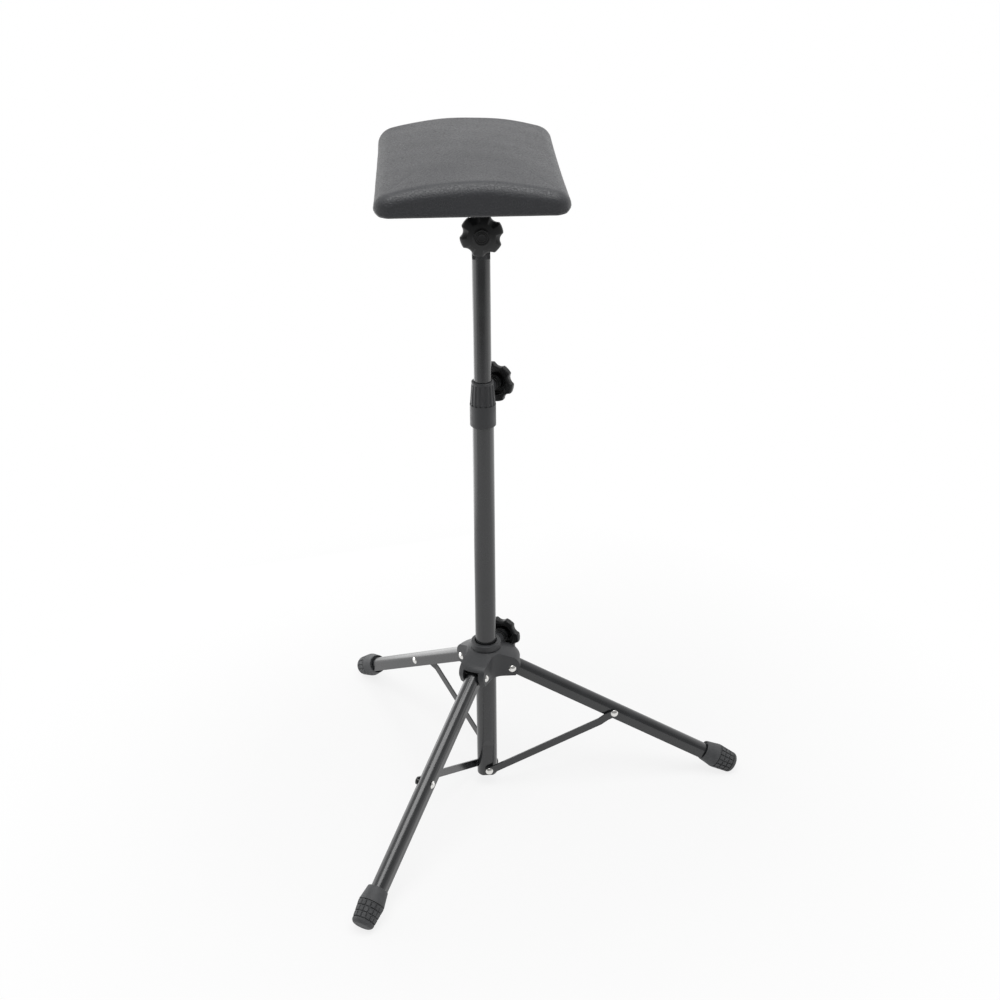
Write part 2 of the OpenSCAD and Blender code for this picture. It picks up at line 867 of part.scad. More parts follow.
module hub_rivets() {
    color("#d9dadc") for (k = [0 : legs - 1])
        at_leg(k) translate([pivot_r, 0, hub_z]) {
            rod_y(rivet_r, -lobe_w / 2, lobe_w / 2);
            for (s = [0, 1])
                mirror([0, s, 0]) translate([0, lobe_w / 2, 0]) rivet_head();
        }
}

// Legs, feet and braces

module leg_outline() {
    circle(d = leg_w);
    translate([-leg_w / 2, -leg_skirt]) square([leg_w, leg_skirt]);
}

module leg_section() {
    difference() {
        leg_outline();
        circle(d = leg_w - 2 * leg_wall);
        translate([-leg_w / 2 + leg_wall, -leg_skirt - over])
            square([leg_w - 2 * leg_wall, leg_skirt + over]);
    }
}

module leg(k) {
    color("#3f4042") along_leg(k) difference() {
        intersection() {
            translate([-leg_tail, 0, 0]) rotate([90, 0, 90])
                linear_extrude(height = leg_len + leg_tail) leg_section();
            union() {
                rod_y(leg_tail, -leg_w, leg_w);
                translate([0, -leg_w, -leg_w]) cube([leg_len, 2 * leg_w, 2 * leg_w]);
            }
        }
        rod_y(rivet_r + run, -leg_w, leg_w);
        translate([brace_at, 0, 0]) rod_y(rivet_r, -leg_w, leg_w);
    }
}

module foot_profile() {
    toe_mid = foot_toe_r - foot_round;
    difference() {
        union() {
            polygon([
                [0, 0], [foot_rim_r, 0], [foot_rim_r, foot_rim_h], [foot_neck_r, foot_rim_h],
                [foot_neck_r, foot_max_at - foot_ramp], [foot_max_r, foot_max_at],
                [foot_toe_r, foot_toe_at], [0, foot_toe_at]]);
            translate([toe_mid, foot_toe_at]) circle(r = foot_round);
            square([toe_mid, foot_len]);
        }
        for (i = [0 : foot_rows])
            translate([foot_face(i) - foot_groove_d, foot_max_at + foot_row_step * i - foot_groove_w / 2])
                square([foot_max_r, foot_groove_w]);
    }
}

// Radius of the foot's tread at its groove i
function foot_face(i) = foot_max_r - foot_row_step * i * tan(foot_taper);

module foot(k) {
    tread = foot_rows * foot_row_step;
    color("#2c2d2f") difference() {
        along_leg(k) translate([leg_reach, 0, 0]) difference() {
            rotate([0, 90, 0]) rotate_extrude() foot_profile();
            for (i = [0 : foot_blocks - 1])
                rotate([360 * i / foot_blocks, 0, 0])
                    translate([foot_max_at, -foot_groove_w / 2, foot_max_r - foot_groove_d])
                        rotate([0, foot_taper, 0]) cube([tread, foot_groove_w, foot_max_r]);
            translate([-over, 0, 0]) rotate([90, 0, 90])
                linear_extrude(height = foot_pocket + over) leg_outline();
        }
        translate([-leg_len * 2, -leg_len * 2, -foot_len]) cube([leg_len * 4, leg_len * 4, foot_len]);
    }
}

module leg_rivet(k) {
    color("#d9dadc") along_leg(k) translate([brace_at, 0, 0]) {
        rod_y(rivet_r, -leg_side - stub, leg_side);
        translate([0, leg_side, 0]) rivet_head();
    }
}

module brace(k) {
    a = brace_in;
    b = leg_side + leg_side_gap;
    w = brace_w / 2;
    color("#2f3032") along_brace(k) difference() {
        intersection() {
            linear_extrude(height = brace_w, center = true) polygon([
                [-w, -a], [brace_len - step_far, -a], [brace_len - step_near, -b], [brace_len + w, -b],
                [brace_len + w, -b - brace_t], [brace_len - step_near, -b - brace_t],
                [brace_len - step_far, -a - brace_t], [-w, -a - brace_t]]);
            rotate([90, 0, 0]) linear_extrude(height = 2 * (a + brace_t), center = true) {
                translate([0, -w]) square([brace_len, brace_w]);
                circle(d = brace_w);
                translate([brace_len, 0]) circle(d = brace_w);
            }
        }
        rod_y(rivet_r + run, -outer_d, 0);
        translate([brace_len, 0, 0]) rod_y(rivet_r, -outer_d, 0);
    }
}

module brace_rivet(k) {
    b = leg_side + leg_side_gap;
    color("#d9dadc") along_brace(k) translate([brace_len, 0, 0]) {
        rod_y(rivet_r, -b - brace_t, -leg_side - stub - split_gap);
        translate([0, -b - brace_t, 0]) rotate([0, 0, 180]) rivet_head();
    }
}

outer_pole();
height_collar();
collar_insert();
brace_spacers();
pole_rivets();
pole_guide();
inner_pole();
pole_head();
pad_bracket();
pad_plate();
pad_screws();
pad_undercloth();
pad_board();
pad_cushion();
tilt_bolt();
tilt_washers();
knob_washer();
tilt_knob();
tilt_knob_nut();
tilt_knob_cap();
height_knob();
height_screw();
height_knob_cap();
hub_casting();
hub_rivets();
hub_insert();
hub_knob();
hub_screw();
hub_knob_cap();
leg(0);  // leg_right
leg(1);  // leg_back
leg(2);  // leg_front
foot(0);  // foot_right
foot(1);  // foot_back
foot(2);  // foot_front
leg_rivet(0);  // leg_rivet_right
leg_rivet(1);  // leg_rivet_back
leg_rivet(2);  // leg_rivet_front
brace(0);  // brace_right
brace(1);  // brace_back
brace(2);  // brace_front
brace_rivet(0);  // brace_rivet_right
brace_rivet(1);  // brace_rivet_back
brace_rivet(2);  // brace_rivet_front
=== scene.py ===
import math

import bmesh
import bpy
import numpy as np
from bpy.props import FloatProperty, FloatVectorProperty, IntProperty, PointerProperty
from bpy.types import Operator, Panel, PropertyGroup
from mathutils import Matrix, Vector
from mathutils.kdtree import KDTree


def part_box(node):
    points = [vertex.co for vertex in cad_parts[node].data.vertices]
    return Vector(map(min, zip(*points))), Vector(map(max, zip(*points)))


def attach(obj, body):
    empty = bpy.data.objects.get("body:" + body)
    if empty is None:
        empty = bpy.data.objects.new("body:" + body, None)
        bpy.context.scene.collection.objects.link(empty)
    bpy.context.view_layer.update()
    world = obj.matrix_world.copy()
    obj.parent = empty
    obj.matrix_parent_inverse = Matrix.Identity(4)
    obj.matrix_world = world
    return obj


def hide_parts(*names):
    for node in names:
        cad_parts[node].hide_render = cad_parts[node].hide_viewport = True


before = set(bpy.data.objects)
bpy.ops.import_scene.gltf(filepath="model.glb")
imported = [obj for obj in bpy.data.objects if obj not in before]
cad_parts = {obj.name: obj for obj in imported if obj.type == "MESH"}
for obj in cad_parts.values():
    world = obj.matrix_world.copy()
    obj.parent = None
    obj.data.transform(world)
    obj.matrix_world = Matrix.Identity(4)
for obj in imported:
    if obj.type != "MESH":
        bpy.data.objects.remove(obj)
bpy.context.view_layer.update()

bl_info = {
    "name": "Arm rest stand",
    "version": (1, 0, 0),
    "blender": (4, 5, 0),
    "location": "View3D > Sidebar > Arm rest",
    "description": "Dresses the packed arm rest stand with its cushion, knobs, feet and finishes",
    "category": "Object",
}

MM = 0.001
UP = np.array([0.0, 0.0, 1.0])
SIDES = ("right", "back", "front")

# Places and sizes that part.scad also uses, in millimetres and degrees
LEG_TURN = 1.2
LEG_SLOPE = 30.4
PIVOT_R = 31.8
LEG_REACH = 289.6
HUB_Z = 179.04
TILT_Z = 737.5
TILT_KNOB_BACK = 13.3
HEIGHT_KNOB_Z = 546.2
HEIGHT_KNOB_TURN = 62.0
HEIGHT_KNOB_BACK = 23.3
HUB_KNOB_Z = 196.04
HUB_KNOB_BACK = 37.7
PAD_SHIFT = -12.5
PAD_UNDER = 794.0
BOARD_TOP = 12.0
BOARD_INSET = 11.0
CLOTH_LAP = 4.0
CLOTH_THICK = 0.8
KNOB_HUB = 4.5
CAP_R = 9.0
CAP_SINK = 2.0
SCREW_HEAD_R = 4.2
SCREW_HEAD_H = 2.2
SCREW_SHANK_R = 2.0
SCREW_LENGTH = 9.0

# Play between the cushion and its board, and the most that the foam pushes the cover out, in millimetres
POCKET_PLAY = 0.2
MOST_PUSH = 2.5

# Steps of the cloth simulation, and how often its pushes are averaged
CLOTH_STEPS = 18
EVEN_PASSES = 24

# Scoops between a star knob's tips: radius, distance from the axis and rounding of the corners, in millimetres
SCOOP_R = 9.0
SCOOP_AT = 29.5
SCOOP_ROUNDING = 1.6

# Foot: ends of its flare and of its tread along the leg, its radius at both, and its toe's rounding, in millimetres
FLARE_END = 18.5
TREAD_END = 41.0
FLARE_R = 15.75
TREAD_R = 13.4
TOE_R = 5.0

# Light from all round, and the camera's side of the room as a glossy surface sees it, where 1 is white
WORLD_LIGHT = 0.25
ROOM_LIGHT = 0.35

# Panels of light: name, place, aim, width and height in metres, and brightness of the panel's face
LAMPS = (
    ("overhead_softbox", (0.05, -0.5, 2.1), (-0.05, -0.1, 0.4), 1.8, 1.35, 4.0),
    ("left_panel", (-0.62, 0.45, 0.28), (0.0, 0.2, 0.28), 1.6, 0.55, 0.9),
    ("right_panel", (0.75, 0.35, 0.2), (0.0, 0.2, 0.2), 1.2, 0.4, 0.4),
    ("back_panel", (-0.3, 0.62, 0.2), (-0.15, 0.0, 0.2), 0.9, 0.4, 0.9),
)

# The photograph's camera: place in metres, then yaw, pitch and roll in degrees, and focal length in millimetres
CAMERA_PLACE = (-0.05686, -1.71387, 1.25024)
CAMERA_TURN = (2.534, 26.215, -0.429)
CAMERA_LENS = 57.88

# Noise values lie mostly between these
MIDDLE = {"From Min": 0.3, "From Max": 0.7}


def linear(hex_code):
    """Linear red, green, blue and alpha of an sRGB colour written as #rrggbb, by the sRGB curve: straight near black
    and a power of 2.4 above it."""
    srgb = np.array([int(hex_code[i:i + 2], 16) for i in (1, 3, 5)]) / 255
    return (*np.where(srgb <= 0.04045, srgb / 12.92, ((srgb + 0.055) / 1.055) ** 2.4), 1.0)


def smooth_step(x, low, high):
    """0 below low, 1 above high, and between them three times the share's square less twice its cube."""
    t = np.clip((x - low) / (high - low), 0, 1)
    return t * t * (3 - 2 * t)


def smooth_min(a, b, k):
    """The smaller of a and b, with the corner where they cross rounded over the length k."""
    h = np.clip(0.5 + 0.5 * (b - a) / k, 0, 1)
    return b + (a - b) * h - k * h * (1 - h)


def arc(centre_a, centre_z, radius, start, end, count):
    """Points on an arc of a profile: centre plus radius times (cos, sin), from start to end degrees."""
    t = np.radians(np.linspace(start, end, count))
    return np.stack([centre_a + radius * np.cos(t), centre_z + radius * np.sin(t)], axis=1)


def grid_mesh(name, grids, sharp=35.0):
    """One closed mesh from grids of points in millimetres, with its edges over sharp degrees left sharp. A grid's rows
    run from pole to pole and its columns close on themselves. Doubles are merged, so that a pole is one point."""
    points, quads, start = [], [], 0
    for grid in grids:
        rows, columns = grid.shape[:2]
        i, j = np.meshgrid(np.arange(rows - 1), np.arange(columns), indexing="ij")
        k = (j + 1) % columns
        quads.append(start + np.stack(
            [i * columns + j, i * columns + k, (i + 1) * columns + k, (i + 1) * columns + j], axis=-1).reshape(-1, 4))
        points.append(grid.reshape(-1, 3) * MM)
        start += rows * columns
    mesh = bpy.data.meshes.new(name)
    mesh.from_pydata(np.concatenate(points), [], np.concatenate(quads))
    shell = bmesh.new()
    shell.from_mesh(mesh)
    bmesh.ops.remove_doubles(shell, verts=shell.verts, dist=1e-7)
    bmesh.ops.recalc_face_normals(shell, faces=shell.faces)
    shell.to_mesh(mesh)
    shell.free()
    mesh.shade_smooth()
    mesh.set_sharp_from_angle(angle=math.radians(sharp))
    return mesh


def add_object(name, data):
    """Puts an object with its data into the scene."""
    thing = bpy.data.objects.new(name, data)
    bpy.context.scene.collection.objects.link(thing)
    return thing


def add_piece(name, grids, material, body, replaced=(), sharp=35.0):
    """Makes a piece of closed grids that rides on a body, with its material, and hides the parts that it replaces."""
    piece = add_object(name, grid_mesh(name, grids, sharp))
    piece.data.materials.append(material)
    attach(piece, body)
    if replaced:
        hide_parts(*replaced)
    return piece


def outward(turn):
    """Unit vectors away from the pole and across that, turn degrees from +x round the pole."""
    a = math.radians(turn)
    return np.array([math.cos(a), math.sin(a), 0]), np.array([-math.sin(a), math.cos(a), 0])


def spun(u, v, w, spin):
    """Unit axes of a knob: its own x and y are u and v turned by spin degrees round its axis w."""
    s = math.radians(spin)
    return u * math.cos(s) + v * math.sin(s), v * math.cos(s) - u * math.sin(s), w


def outward_knob(turn, back, height, spin):
    """Origin and axes of a knob whose screw points at the pole, its back at that distance and height."""
    out, across = outward(turn)
    return out * back + UP * height, spun(-UP, across, out, spin)


def turned(profile, place, count=96, plan=None):
    """Surface of a profile turned round an axis: radius r(i) and height z(i) at every angle. Where the profile's third
    column is 1, the radius is plan(angle) less the first column instead."""
    origin, (u, v, w) = place
    angle = np.linspace(0, 2 * math.pi, count, endpoint=False)
    radius = np.repeat(profile[:, :1], count, axis=1)
    if plan is not None:
        radius = np.where(profile[:, 2:3] > 0.5, plan(angle) - radius, radius)
    return (origin + radius[..., None] * (np.cos(angle)[:, None] * u + np.sin(angle)[:, None] * v)
            + profile[:, 1:2, None] * w)


# Finishes


def add_node(tree, kind, settings=None, inputs=None):
    """Adds one node: settings are its own properties, and inputs are values or sockets for its named inputs."""
    node = tree.nodes.new(kind)
    for name, value in (settings or {}).items():
        setattr(node, name, value)
    for name, value in (inputs or {}).items():
        socket = node.inputs[name]
        if isinstance(value, bpy.types.NodeSocket):
            tree.links.new(value, socket)
        else:
            socket.default_value = value
    return node


def start_material(name):
    """An empty material, its node tree, and the Object coordinates that its patterns read."""
    material = bpy.data.materials.new(name)
    material.use_nodes = True
    tree = material.node_tree
    tree.nodes.clear()
    return material, tree, add_node(tree, "ShaderNodeTexCoord").outputs["Object"]


def end_material(material, inputs):
    """Adds the shader, with values or sockets for its inputs, and the output that it feeds."""
    tree = material.node_tree
    shader = add_node(tree, "ShaderNodeBsdfPrincipled", inputs=inputs)
    add_node(tree, "ShaderNodeOutputMaterial", inputs={"Surface": shader.outputs["BSDF"]})
    return material


def per(size):
    """Scale of a pattern whose cells are size millimetres wide, where coordinates are in metres."""
    return 1 / (size * MM)


def shaded(tree, color, pattern, low, high, **span):
    """A colour that a pattern makes darker and lighter: its brightness is multiplied by low up to high."""
    shade = add_node(tree, "ShaderNodeMapRange", inputs={"Value": pattern, **span, "To Min": low, "To Max": high})
    return add_node(tree, "ShaderNodeHueSaturation", inputs={
        "Color": color, "Value": shade.outputs["Result"]}).outputs["Color"]


def powder_coated_steel(name, color, low, high):
    """Steel with a baked powder coat: a dark even skin whose fine orange peel breaks up its soft reflections. Its
    roughness runs from low to high."""
    material, tree, place = start_material(name)
    # Orange peel of a powder coat is 1 to 2 mm across
    peel = add_node(tree, "ShaderNodeTexNoise", inputs={"Vector": place, "Scale": per(1.43), "Detail": 2.0})
    # Faint handling marks a few centimetres long
    wear = add_node(tree, "ShaderNodeTexNoise", inputs={"Vector": place, "Scale": per(22.2), "Detail": 5.0})
    tone = shaded(tree, color, wear.outputs["Fac"], 0.85, 1.2, **MIDDLE)
    rough = add_node(tree, "ShaderNodeMapRange", inputs={
        "Value": wear.outputs["Fac"], **MIDDLE, "To Min": low, "To Max": high})
    # The coat rounds a sheet's edges to about 0.35 mm
    edge = add_node(tree, "ShaderNodeBevel", {"samples": 6}, {"Radius": 0.35 * MM})
    bump = add_node(tree, "ShaderNodeBump", inputs={
        "Height": peel.outputs["Fac"], "Strength": 0.03, "Distance": 0.02 * MM, "Normal": edge.outputs["Normal"]})
    return end_material(material, {
        "Base Color": tone, "Roughness": rough.outputs["Result"], "Normal": bump.outputs["Normal"], "IOR": 1.62})


def moulded_nylon(name, hex_code, low, high, gloss):
    """Glass-filled nylon from an etched mould: a dark body, a fine even grain and softly clouded gloss."""
    material, tree, place = start_material(name)
    # The etched grain is about 0.3 mm, drawn at 0.5 mm so that it shows
    grain = add_node(tree, "ShaderNodeTexNoise", inputs={"Vector": place, "Scale": per(0.5), "Detail": 2.0})
    # Glass fibres cloud the skin in patches of about a centimetre
    cloud = add_node(tree, "ShaderNodeTexNoise", inputs={"Vector": place, "Scale": per(11.1), "Detail": 4.0})
    rough = add_node(tree, "ShaderNodeMapRange", inputs={
        "Value": cloud.outputs["Fac"], **MIDDLE, "To Min": low, "To Max": high})
    tone = shaded(tree, linear(hex_code), cloud.outputs["Fac"], 0.9, 1.1)
    # Moulded edges are rounded to about 0.6 mm
    edge = add_node(tree, "ShaderNodeBevel", {"samples": 6}, {"Radius": 0.6 * MM})
    bump = add_node(tree, "ShaderNodeBump", inputs={
        "Height": grain.outputs["Fac"], "Strength": 0.2, "Distance": 0.03 * MM, "Normal": edge.outputs["Normal"]})
    return end_material(material, {
        "Base Color": tone, "Roughness": rough.outputs["Result"], "Normal": bump.outputs["Normal"], "IOR": 1.53,
        "Specular IOR Level": gloss})


def moulded_rubber(name):
    """Black EPDM rubber from a steel mould: nearly matt, with a dusty bloom in patches."""
    material, tree, place = start_material(name)
    # Patches of bloom are about 8 mm across, and the mould's texture is under a millimetre
    bloom = add_node(tree, "ShaderNodeTexNoise", inputs={"Vector": place, "Scale": per(8.33), "Detail": 6.0})
    skin = add_node(tree, "ShaderNodeTexNoise", inputs={"Vector": place, "Scale": per(0.667), "Detail": 3.0})
    tone = add_node(tree, "ShaderNodeMix", {"data_type": "RGBA"}, {
        "Factor": bloom.outputs["Fac"], "A": linear("#363738"), "B": linear("#505153")})
    bump = add_node(tree, "ShaderNodeBump", inputs={
        "Height": skin.outputs["Fac"], "Strength": 0.3, "Distance": 0.05 * MM})
    return end_material(material, {
        "Base Color": tone.outputs["Result"], "Roughness": 0.62, "Normal": bump.outputs["Normal"]})


def plated_steel(name, hex_code, low, high):
    """Bright plated steel: a metal mirror softened by fine rubbing, with the default IOR."""
    material, tree, place = start_material(name)
    # Rubbing leaves spots of about a millimetre
    rub = add_node(tree, "ShaderNodeTexNoise", inputs={"Vector": place, "Scale": per(1.11), "Detail": 3.0})
    rough = add_node(tree, "ShaderNodeMapRange", inputs={
        "Value": rub.outputs["Fac"], **MIDDLE, "To Min": low, "To Max": high})
    tone = shaded(tree, linear(hex_code), rub.outputs["Fac"], 0.92, 1.04)
    return end_material(material, {"Base Color": tone, "Roughness": rough.outputs["Result"], "Metallic": 1.0})


def natural_nylon(name):
    """Natural nylon, turned: milky, and clouded by the heat of the cut."""
    material, tree, place = start_material(name)
    # Clouds are a few millimetres across
    cloud = add_node(tree, "ShaderNodeTexNoise", inputs={"Vector": place, "Scale": per(3.33)})
    tone = add_node(tree, "ShaderNodeMix", {"data_type": "RGBA"}, {
        "Factor": cloud.outputs["Fac"], "A": linear("#dedbd0"), "B": linear("#eceae2")})
    return end_material(material, {"Base Color": tone.outputs["Result"], "Roughness": 0.4, "IOR": 1.53})


def birch_plywood(name):
    """Birch plywood, sanded: pale veneers with a fine grain along y."""
    material, tree, place = start_material(name)
    # Birch grain lines are 1 to 3 mm apart and some 80 mm long
    along = add_node(tree, "ShaderNodeMapping", inputs={
        "Vector": place, "Scale": (per(2.38), per(83.3), per(1.11))})
    grain = add_node(tree, "ShaderNodeTexNoise", inputs={
        "Vector": along.outputs["Vector"], "Scale": 1.0, "Detail": 6.0})
    tone = add_node(tree, "ShaderNodeMix", {"data_type": "RGBA"}, {
        "Factor": grain.outputs["Fac"], "A": linear("#b98f5e"), "B": linear("#e0c294")})
    return end_material(material, {"Base Color": tone.outputs["Result"], "Roughness": 0.7})


def spunbond_cloth(name):
    """Black spunbond polypropylene, the usual cover under upholstery: a thin felt with a pressed dot every 2 mm."""
    material, tree, place = start_material(name)
    dots = add_node(tree, "ShaderNodeTexVoronoi", {"feature": "F1"}, {
        "Vector": place, "Scale": per(2.0), "Randomness": 0.15})
    # Fibres are 0.02 mm thick, drawn at 0.4 mm so that they show
    fibre = add_node(tree, "ShaderNodeTexNoise", inputs={"Vector": place, "Scale": per(0.4), "Detail": 4.0})
    tone = add_node(tree, "ShaderNodeMix", {"data_type": "RGBA"}, {
        "Factor": fibre.outputs["Fac"], "A": linear("#1a1a1c"), "B": linear("#303032")})
    bump = add_node(tree, "ShaderNodeBump", inputs={
        "Height": dots.outputs["Distance"], "Strength": 0.6, "Distance": 0.12 * MM})
    return end_material(material, {
        "Base Color": tone.outputs["Result"], "Roughness": 0.9, "Normal": bump.outputs["Normal"]})


def embossed_leatherette(name, color, grain):
    """PVC-coated knit with an embossed leather grain: pebbles of the grain's size in millimetres, creases between
    them that stay matt, and a satin top coat that sparkles where it faces the light."""
    material, tree, place = start_material(name)
    # The pebbles' outlines wander by up to a millimetre over some 4 mm
    bend = add_node(tree, "ShaderNodeTexNoise", inputs={"Vector": place, "Scale": per(3.85), "Detail": 2.0})
    warped = add_node(tree, "ShaderNodeVectorMath", {"operation": "MULTIPLY_ADD"}, {
        0: bend.outputs["Color"], 1: (0.9 * MM, 0.9 * MM, 0.9 * MM), 2: place})
    pebbles = add_node(tree, "ShaderNodeTexVoronoi", {"feature": "SMOOTH_F1"}, {
        "Vector": warped.outputs["Vector"], "Scale": per(grain), "Smoothness": 0.35})
    # Deeper creases lie nearly two pebbles apart
    creases = add_node(tree, "ShaderNodeTexVoronoi", {"feature": "DISTANCE_TO_EDGE"}, {
        "Vector": warped.outputs["Vector"], "Scale": 0.55 * per(grain)})
    crease = add_node(tree, "ShaderNodeMapRange", inputs={
        "Value": creases.outputs["Distance"], "From Min": 0.0, "From Max": 0.09})
    relief = add_node(tree, "ShaderNodeMath", {"operation": "SUBTRACT"}, {
        0: crease.outputs["Result"], 1: pebbles.outputs["Distance"]})
    # Slow patches of colour, 3 to 4 cm across, from handling
    cloud = add_node(tree, "ShaderNodeTexNoise", inputs={"Vector": place, "Scale": per(35.7), "Detail": 4.0})
    tone = shaded(tree, color, cloud.outputs["Fac"], 0.86, 1.12)
    rough = add_node(tree, "ShaderNodeMapRange", inputs={
        "Value": relief.outputs["Value"], "From Min": -0.4, "From Max": 0.8, "To Min": 0.62, "To Max": 0.36})
    bump = add_node(tree, "ShaderNodeBump", inputs={
        "Height": relief.outputs["Value"], "Strength": 0.9, "Distance": 0.16 * MM})
    return end_material(material, {
        "Base Color": tone, "Roughness": rough.outputs["Result"], "Normal": bump.outputs["Normal"], "IOR": 1.5,
        "Sheen Weight": 0.08})


# Sizes and colours that a user would change


def size(name, description, default, **limits):
    """A setting that is a length in millimetres."""
    return FloatProperty(name=name, description=f"{description} in millimetres", default=default, **limits)


class CushionSettings(PropertyGroup):
    """Sizes of the cushion and its cover."""
    width: size("Width", "Width of the pad", 200.0, min=170, max=230)
    length: size("Length", "Length of the pad", 300.0, min=260, max=360)
    corner: size("Corner", "Radius of the plan's corners", 16.0)
    side_low: size("Side wall", "Upright wall at the long sides", 7.5)
    side_high: size("End wall", "Upright wall in the middle of an end", 22.0)
    roll: size("Edge roll", "Radius of the upper edge", 12.0)
    heel: size("Lower edge", "Radius of the sides' lower edge", 7.0)
    heel_end: size("Lower end edge", "Radius of the ends' lower edge", 2.5)
    crown: size("Crown", "Rise of the middle over the edges", 4.0)
    grain: size("Grain", "Size of the cover's grain", 1.8, min=0.4, max=4)
    pressure: FloatProperty(name="Foam pressure", description="How hard the foam pushes the cover out",
                            default=3.0, min=0)


class KnobSettings(PropertyGroup):
    """Sizes of the three star knobs."""
    tip: size("Tip radius", "Radius over the tips", 24.1, min=18, max=30)
    tips: IntProperty(name="Tips", description="Number of tips", default=6, min=4, max=9)
    thickness: size("Thickness", "Thickness of the star", 15.0)
    side: size("Side wall", "Height of the star's side wall", 7.5)
    rounding: size("Rounding", "Radius of the star's back edge", 2.2)


class FootSettings(PropertyGroup):
    """Tread of the rubber feet."""
    blocks: IntProperty(name="Blocks", description="Tread blocks round a foot", default=15, min=8, max=40)
    rows: IntProperty(name="Rows", description="Rows of tread blocks", default=3, min=1, max=5)
    pitch: size("Row pitch", "Distance between rows", 6.9, min=4, max=9)
    groove: size("Groove depth", "Depth of the tread's grooves", 1.5)


class FinishSettings(PropertyGroup):
    """Colours of the finishes."""
    coat: FloatVectorProperty(name="Coat", description="Colour of the powder coat", subtype="COLOR",
                              size=3, min=0, max=1, default=linear("#242527")[:3])
    cover: FloatVectorProperty(name="Cover", description="Colour of the cushion's cover", subtype="COLOR",
                               size=3, min=0, max=1, default=linear("#2d2e31")[:3])


def finish(name, make, *values):
    """The material of that name, made once."""
    return bpy.data.materials.get(name) or make(name, *values)


def coat(name="satin_powder_coat", low=0.17, high=0.24):
    """The stand's powder coat, with its lowest and highest roughness."""
    color = (*bpy.context.scene.armrest_finish.coat, 1.0)
    return finish(name, powder_coated_steel, color, low, high)


def knob_nylon():
    """Black nylon of the knobs and their caps."""
    return finish("moulded_black_nylon", moulded_nylon, "#1b1c1d", 0.34, 0.46, 0.35)


def zinc_steel():
    """Zinc plate of screws, staples, bolt and washer."""
    return finish("zinc_plated_steel", plated_steel, "#b9bcc2", 0.25, 0.42)


class ARMREST_OT_finishes(Operator):
    """Gives every solid that stays its finish."""
    bl_idname = "armrest.finishes"
    bl_label = "Finish tubes, hub and fittings"

    def execute(self, context):
        # The folded parts under the pad have a coarser coat, which mirrors the floor less
        textured = coat("textured_powder_coat", 0.5, 0.6)
        grey = finish("moulded_grey_nylon", moulded_nylon, "#333436", 0.4, 0.52, 0.45)
        nickel = finish("nickel_plated_steel", plated_steel, "#e3e2df", 0.08, 0.2)
        brass = finish("turned_brass", plated_steel, "#c79f56", 0.2, 0.35)
        white = finish("natural_nylon", natural_nylon)
        wood = finish("birch_plywood", birch_plywood)
        finishes = {
            coat(): ["outer_pole", "inner_pole"] + [f"leg_{s}" for s in SIDES] + [f"brace_{s}" for s in SIDES],
            textured: ["pad_bracket", "pad_plate"],
            grey: ["hub_casting", "height_collar", "pole_head", "brace_spacers"],
            nickel: ["pole_rivets", "hub_rivets"]
            + [f"leg_rivet_{s}" for s in SIDES] + [f"brace_rivet_{s}" for s in SIDES],
            zinc_steel(): ["tilt_bolt", "knob_washer", "height_screw", "hub_screw"],
            brass: ["collar_insert", "hub_insert", "tilt_knob_nut"],
            white: ["pole_guide", "tilt_washers"],
            wood: ["pad_board"],
        }
        for material, nodes in finishes.items():
            for node in nodes:
                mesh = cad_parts[node].data
                mesh.materials.clear()
                mesh.materials.append(material)
        return {"FINISHED"}


def pad_outline(width, length, corner, count):
    """Points round a rectangle with round corners and their outward normals, evenly spaced along it: straight runs
    joined by quarter circles of the corner's radius. The first lies in the middle of the +x side."""
    run_x, run_y = width - 2 * corner, length - 2 * corner
    quarter = math.pi * corner / 2
    spans = np.array([run_y, quarter, run_x, quarter, run_y, quarter, run_x, quarter])
    ends = np.concatenate([[0], np.cumsum(spans)])
    s = (np.linspace(0, ends[-1], count, endpoint=False) + spans[0] / 2) % ends[-1]
    part = np.clip(np.searchsorted(ends, s, side="right") - 1, 0, 7)
    t = (s - ends[part]) / spans[part]
    quadrant = part // 2
    turn = np.where(part % 2 == 1, 90 * (quadrant + t), 90 * quadrant)
    normal = np.stack([np.cos(np.radians(turn)), np.sin(np.radians(turn))], axis=1)
    # Centres of the corner circles, in the order that the outline meets them
    cx = np.array([1, -1, -1, 1])[quadrant] * (width / 2 - corner)
    cy = np.array([1, 1, -1, -1])[quadrant] * (length / 2 - corner)
    back = np.where(part % 2 == 0, (1 - t) * spans[part], 0.0)
    # On a straight run the centre slides back against the direction of travel
    direction = np.stack([-normal[:, 1], normal[:, 0]], axis=1)
    centre = np.stack([cx, cy], axis=1) - direction * back[:, None]
    return centre + corner * normal, normal


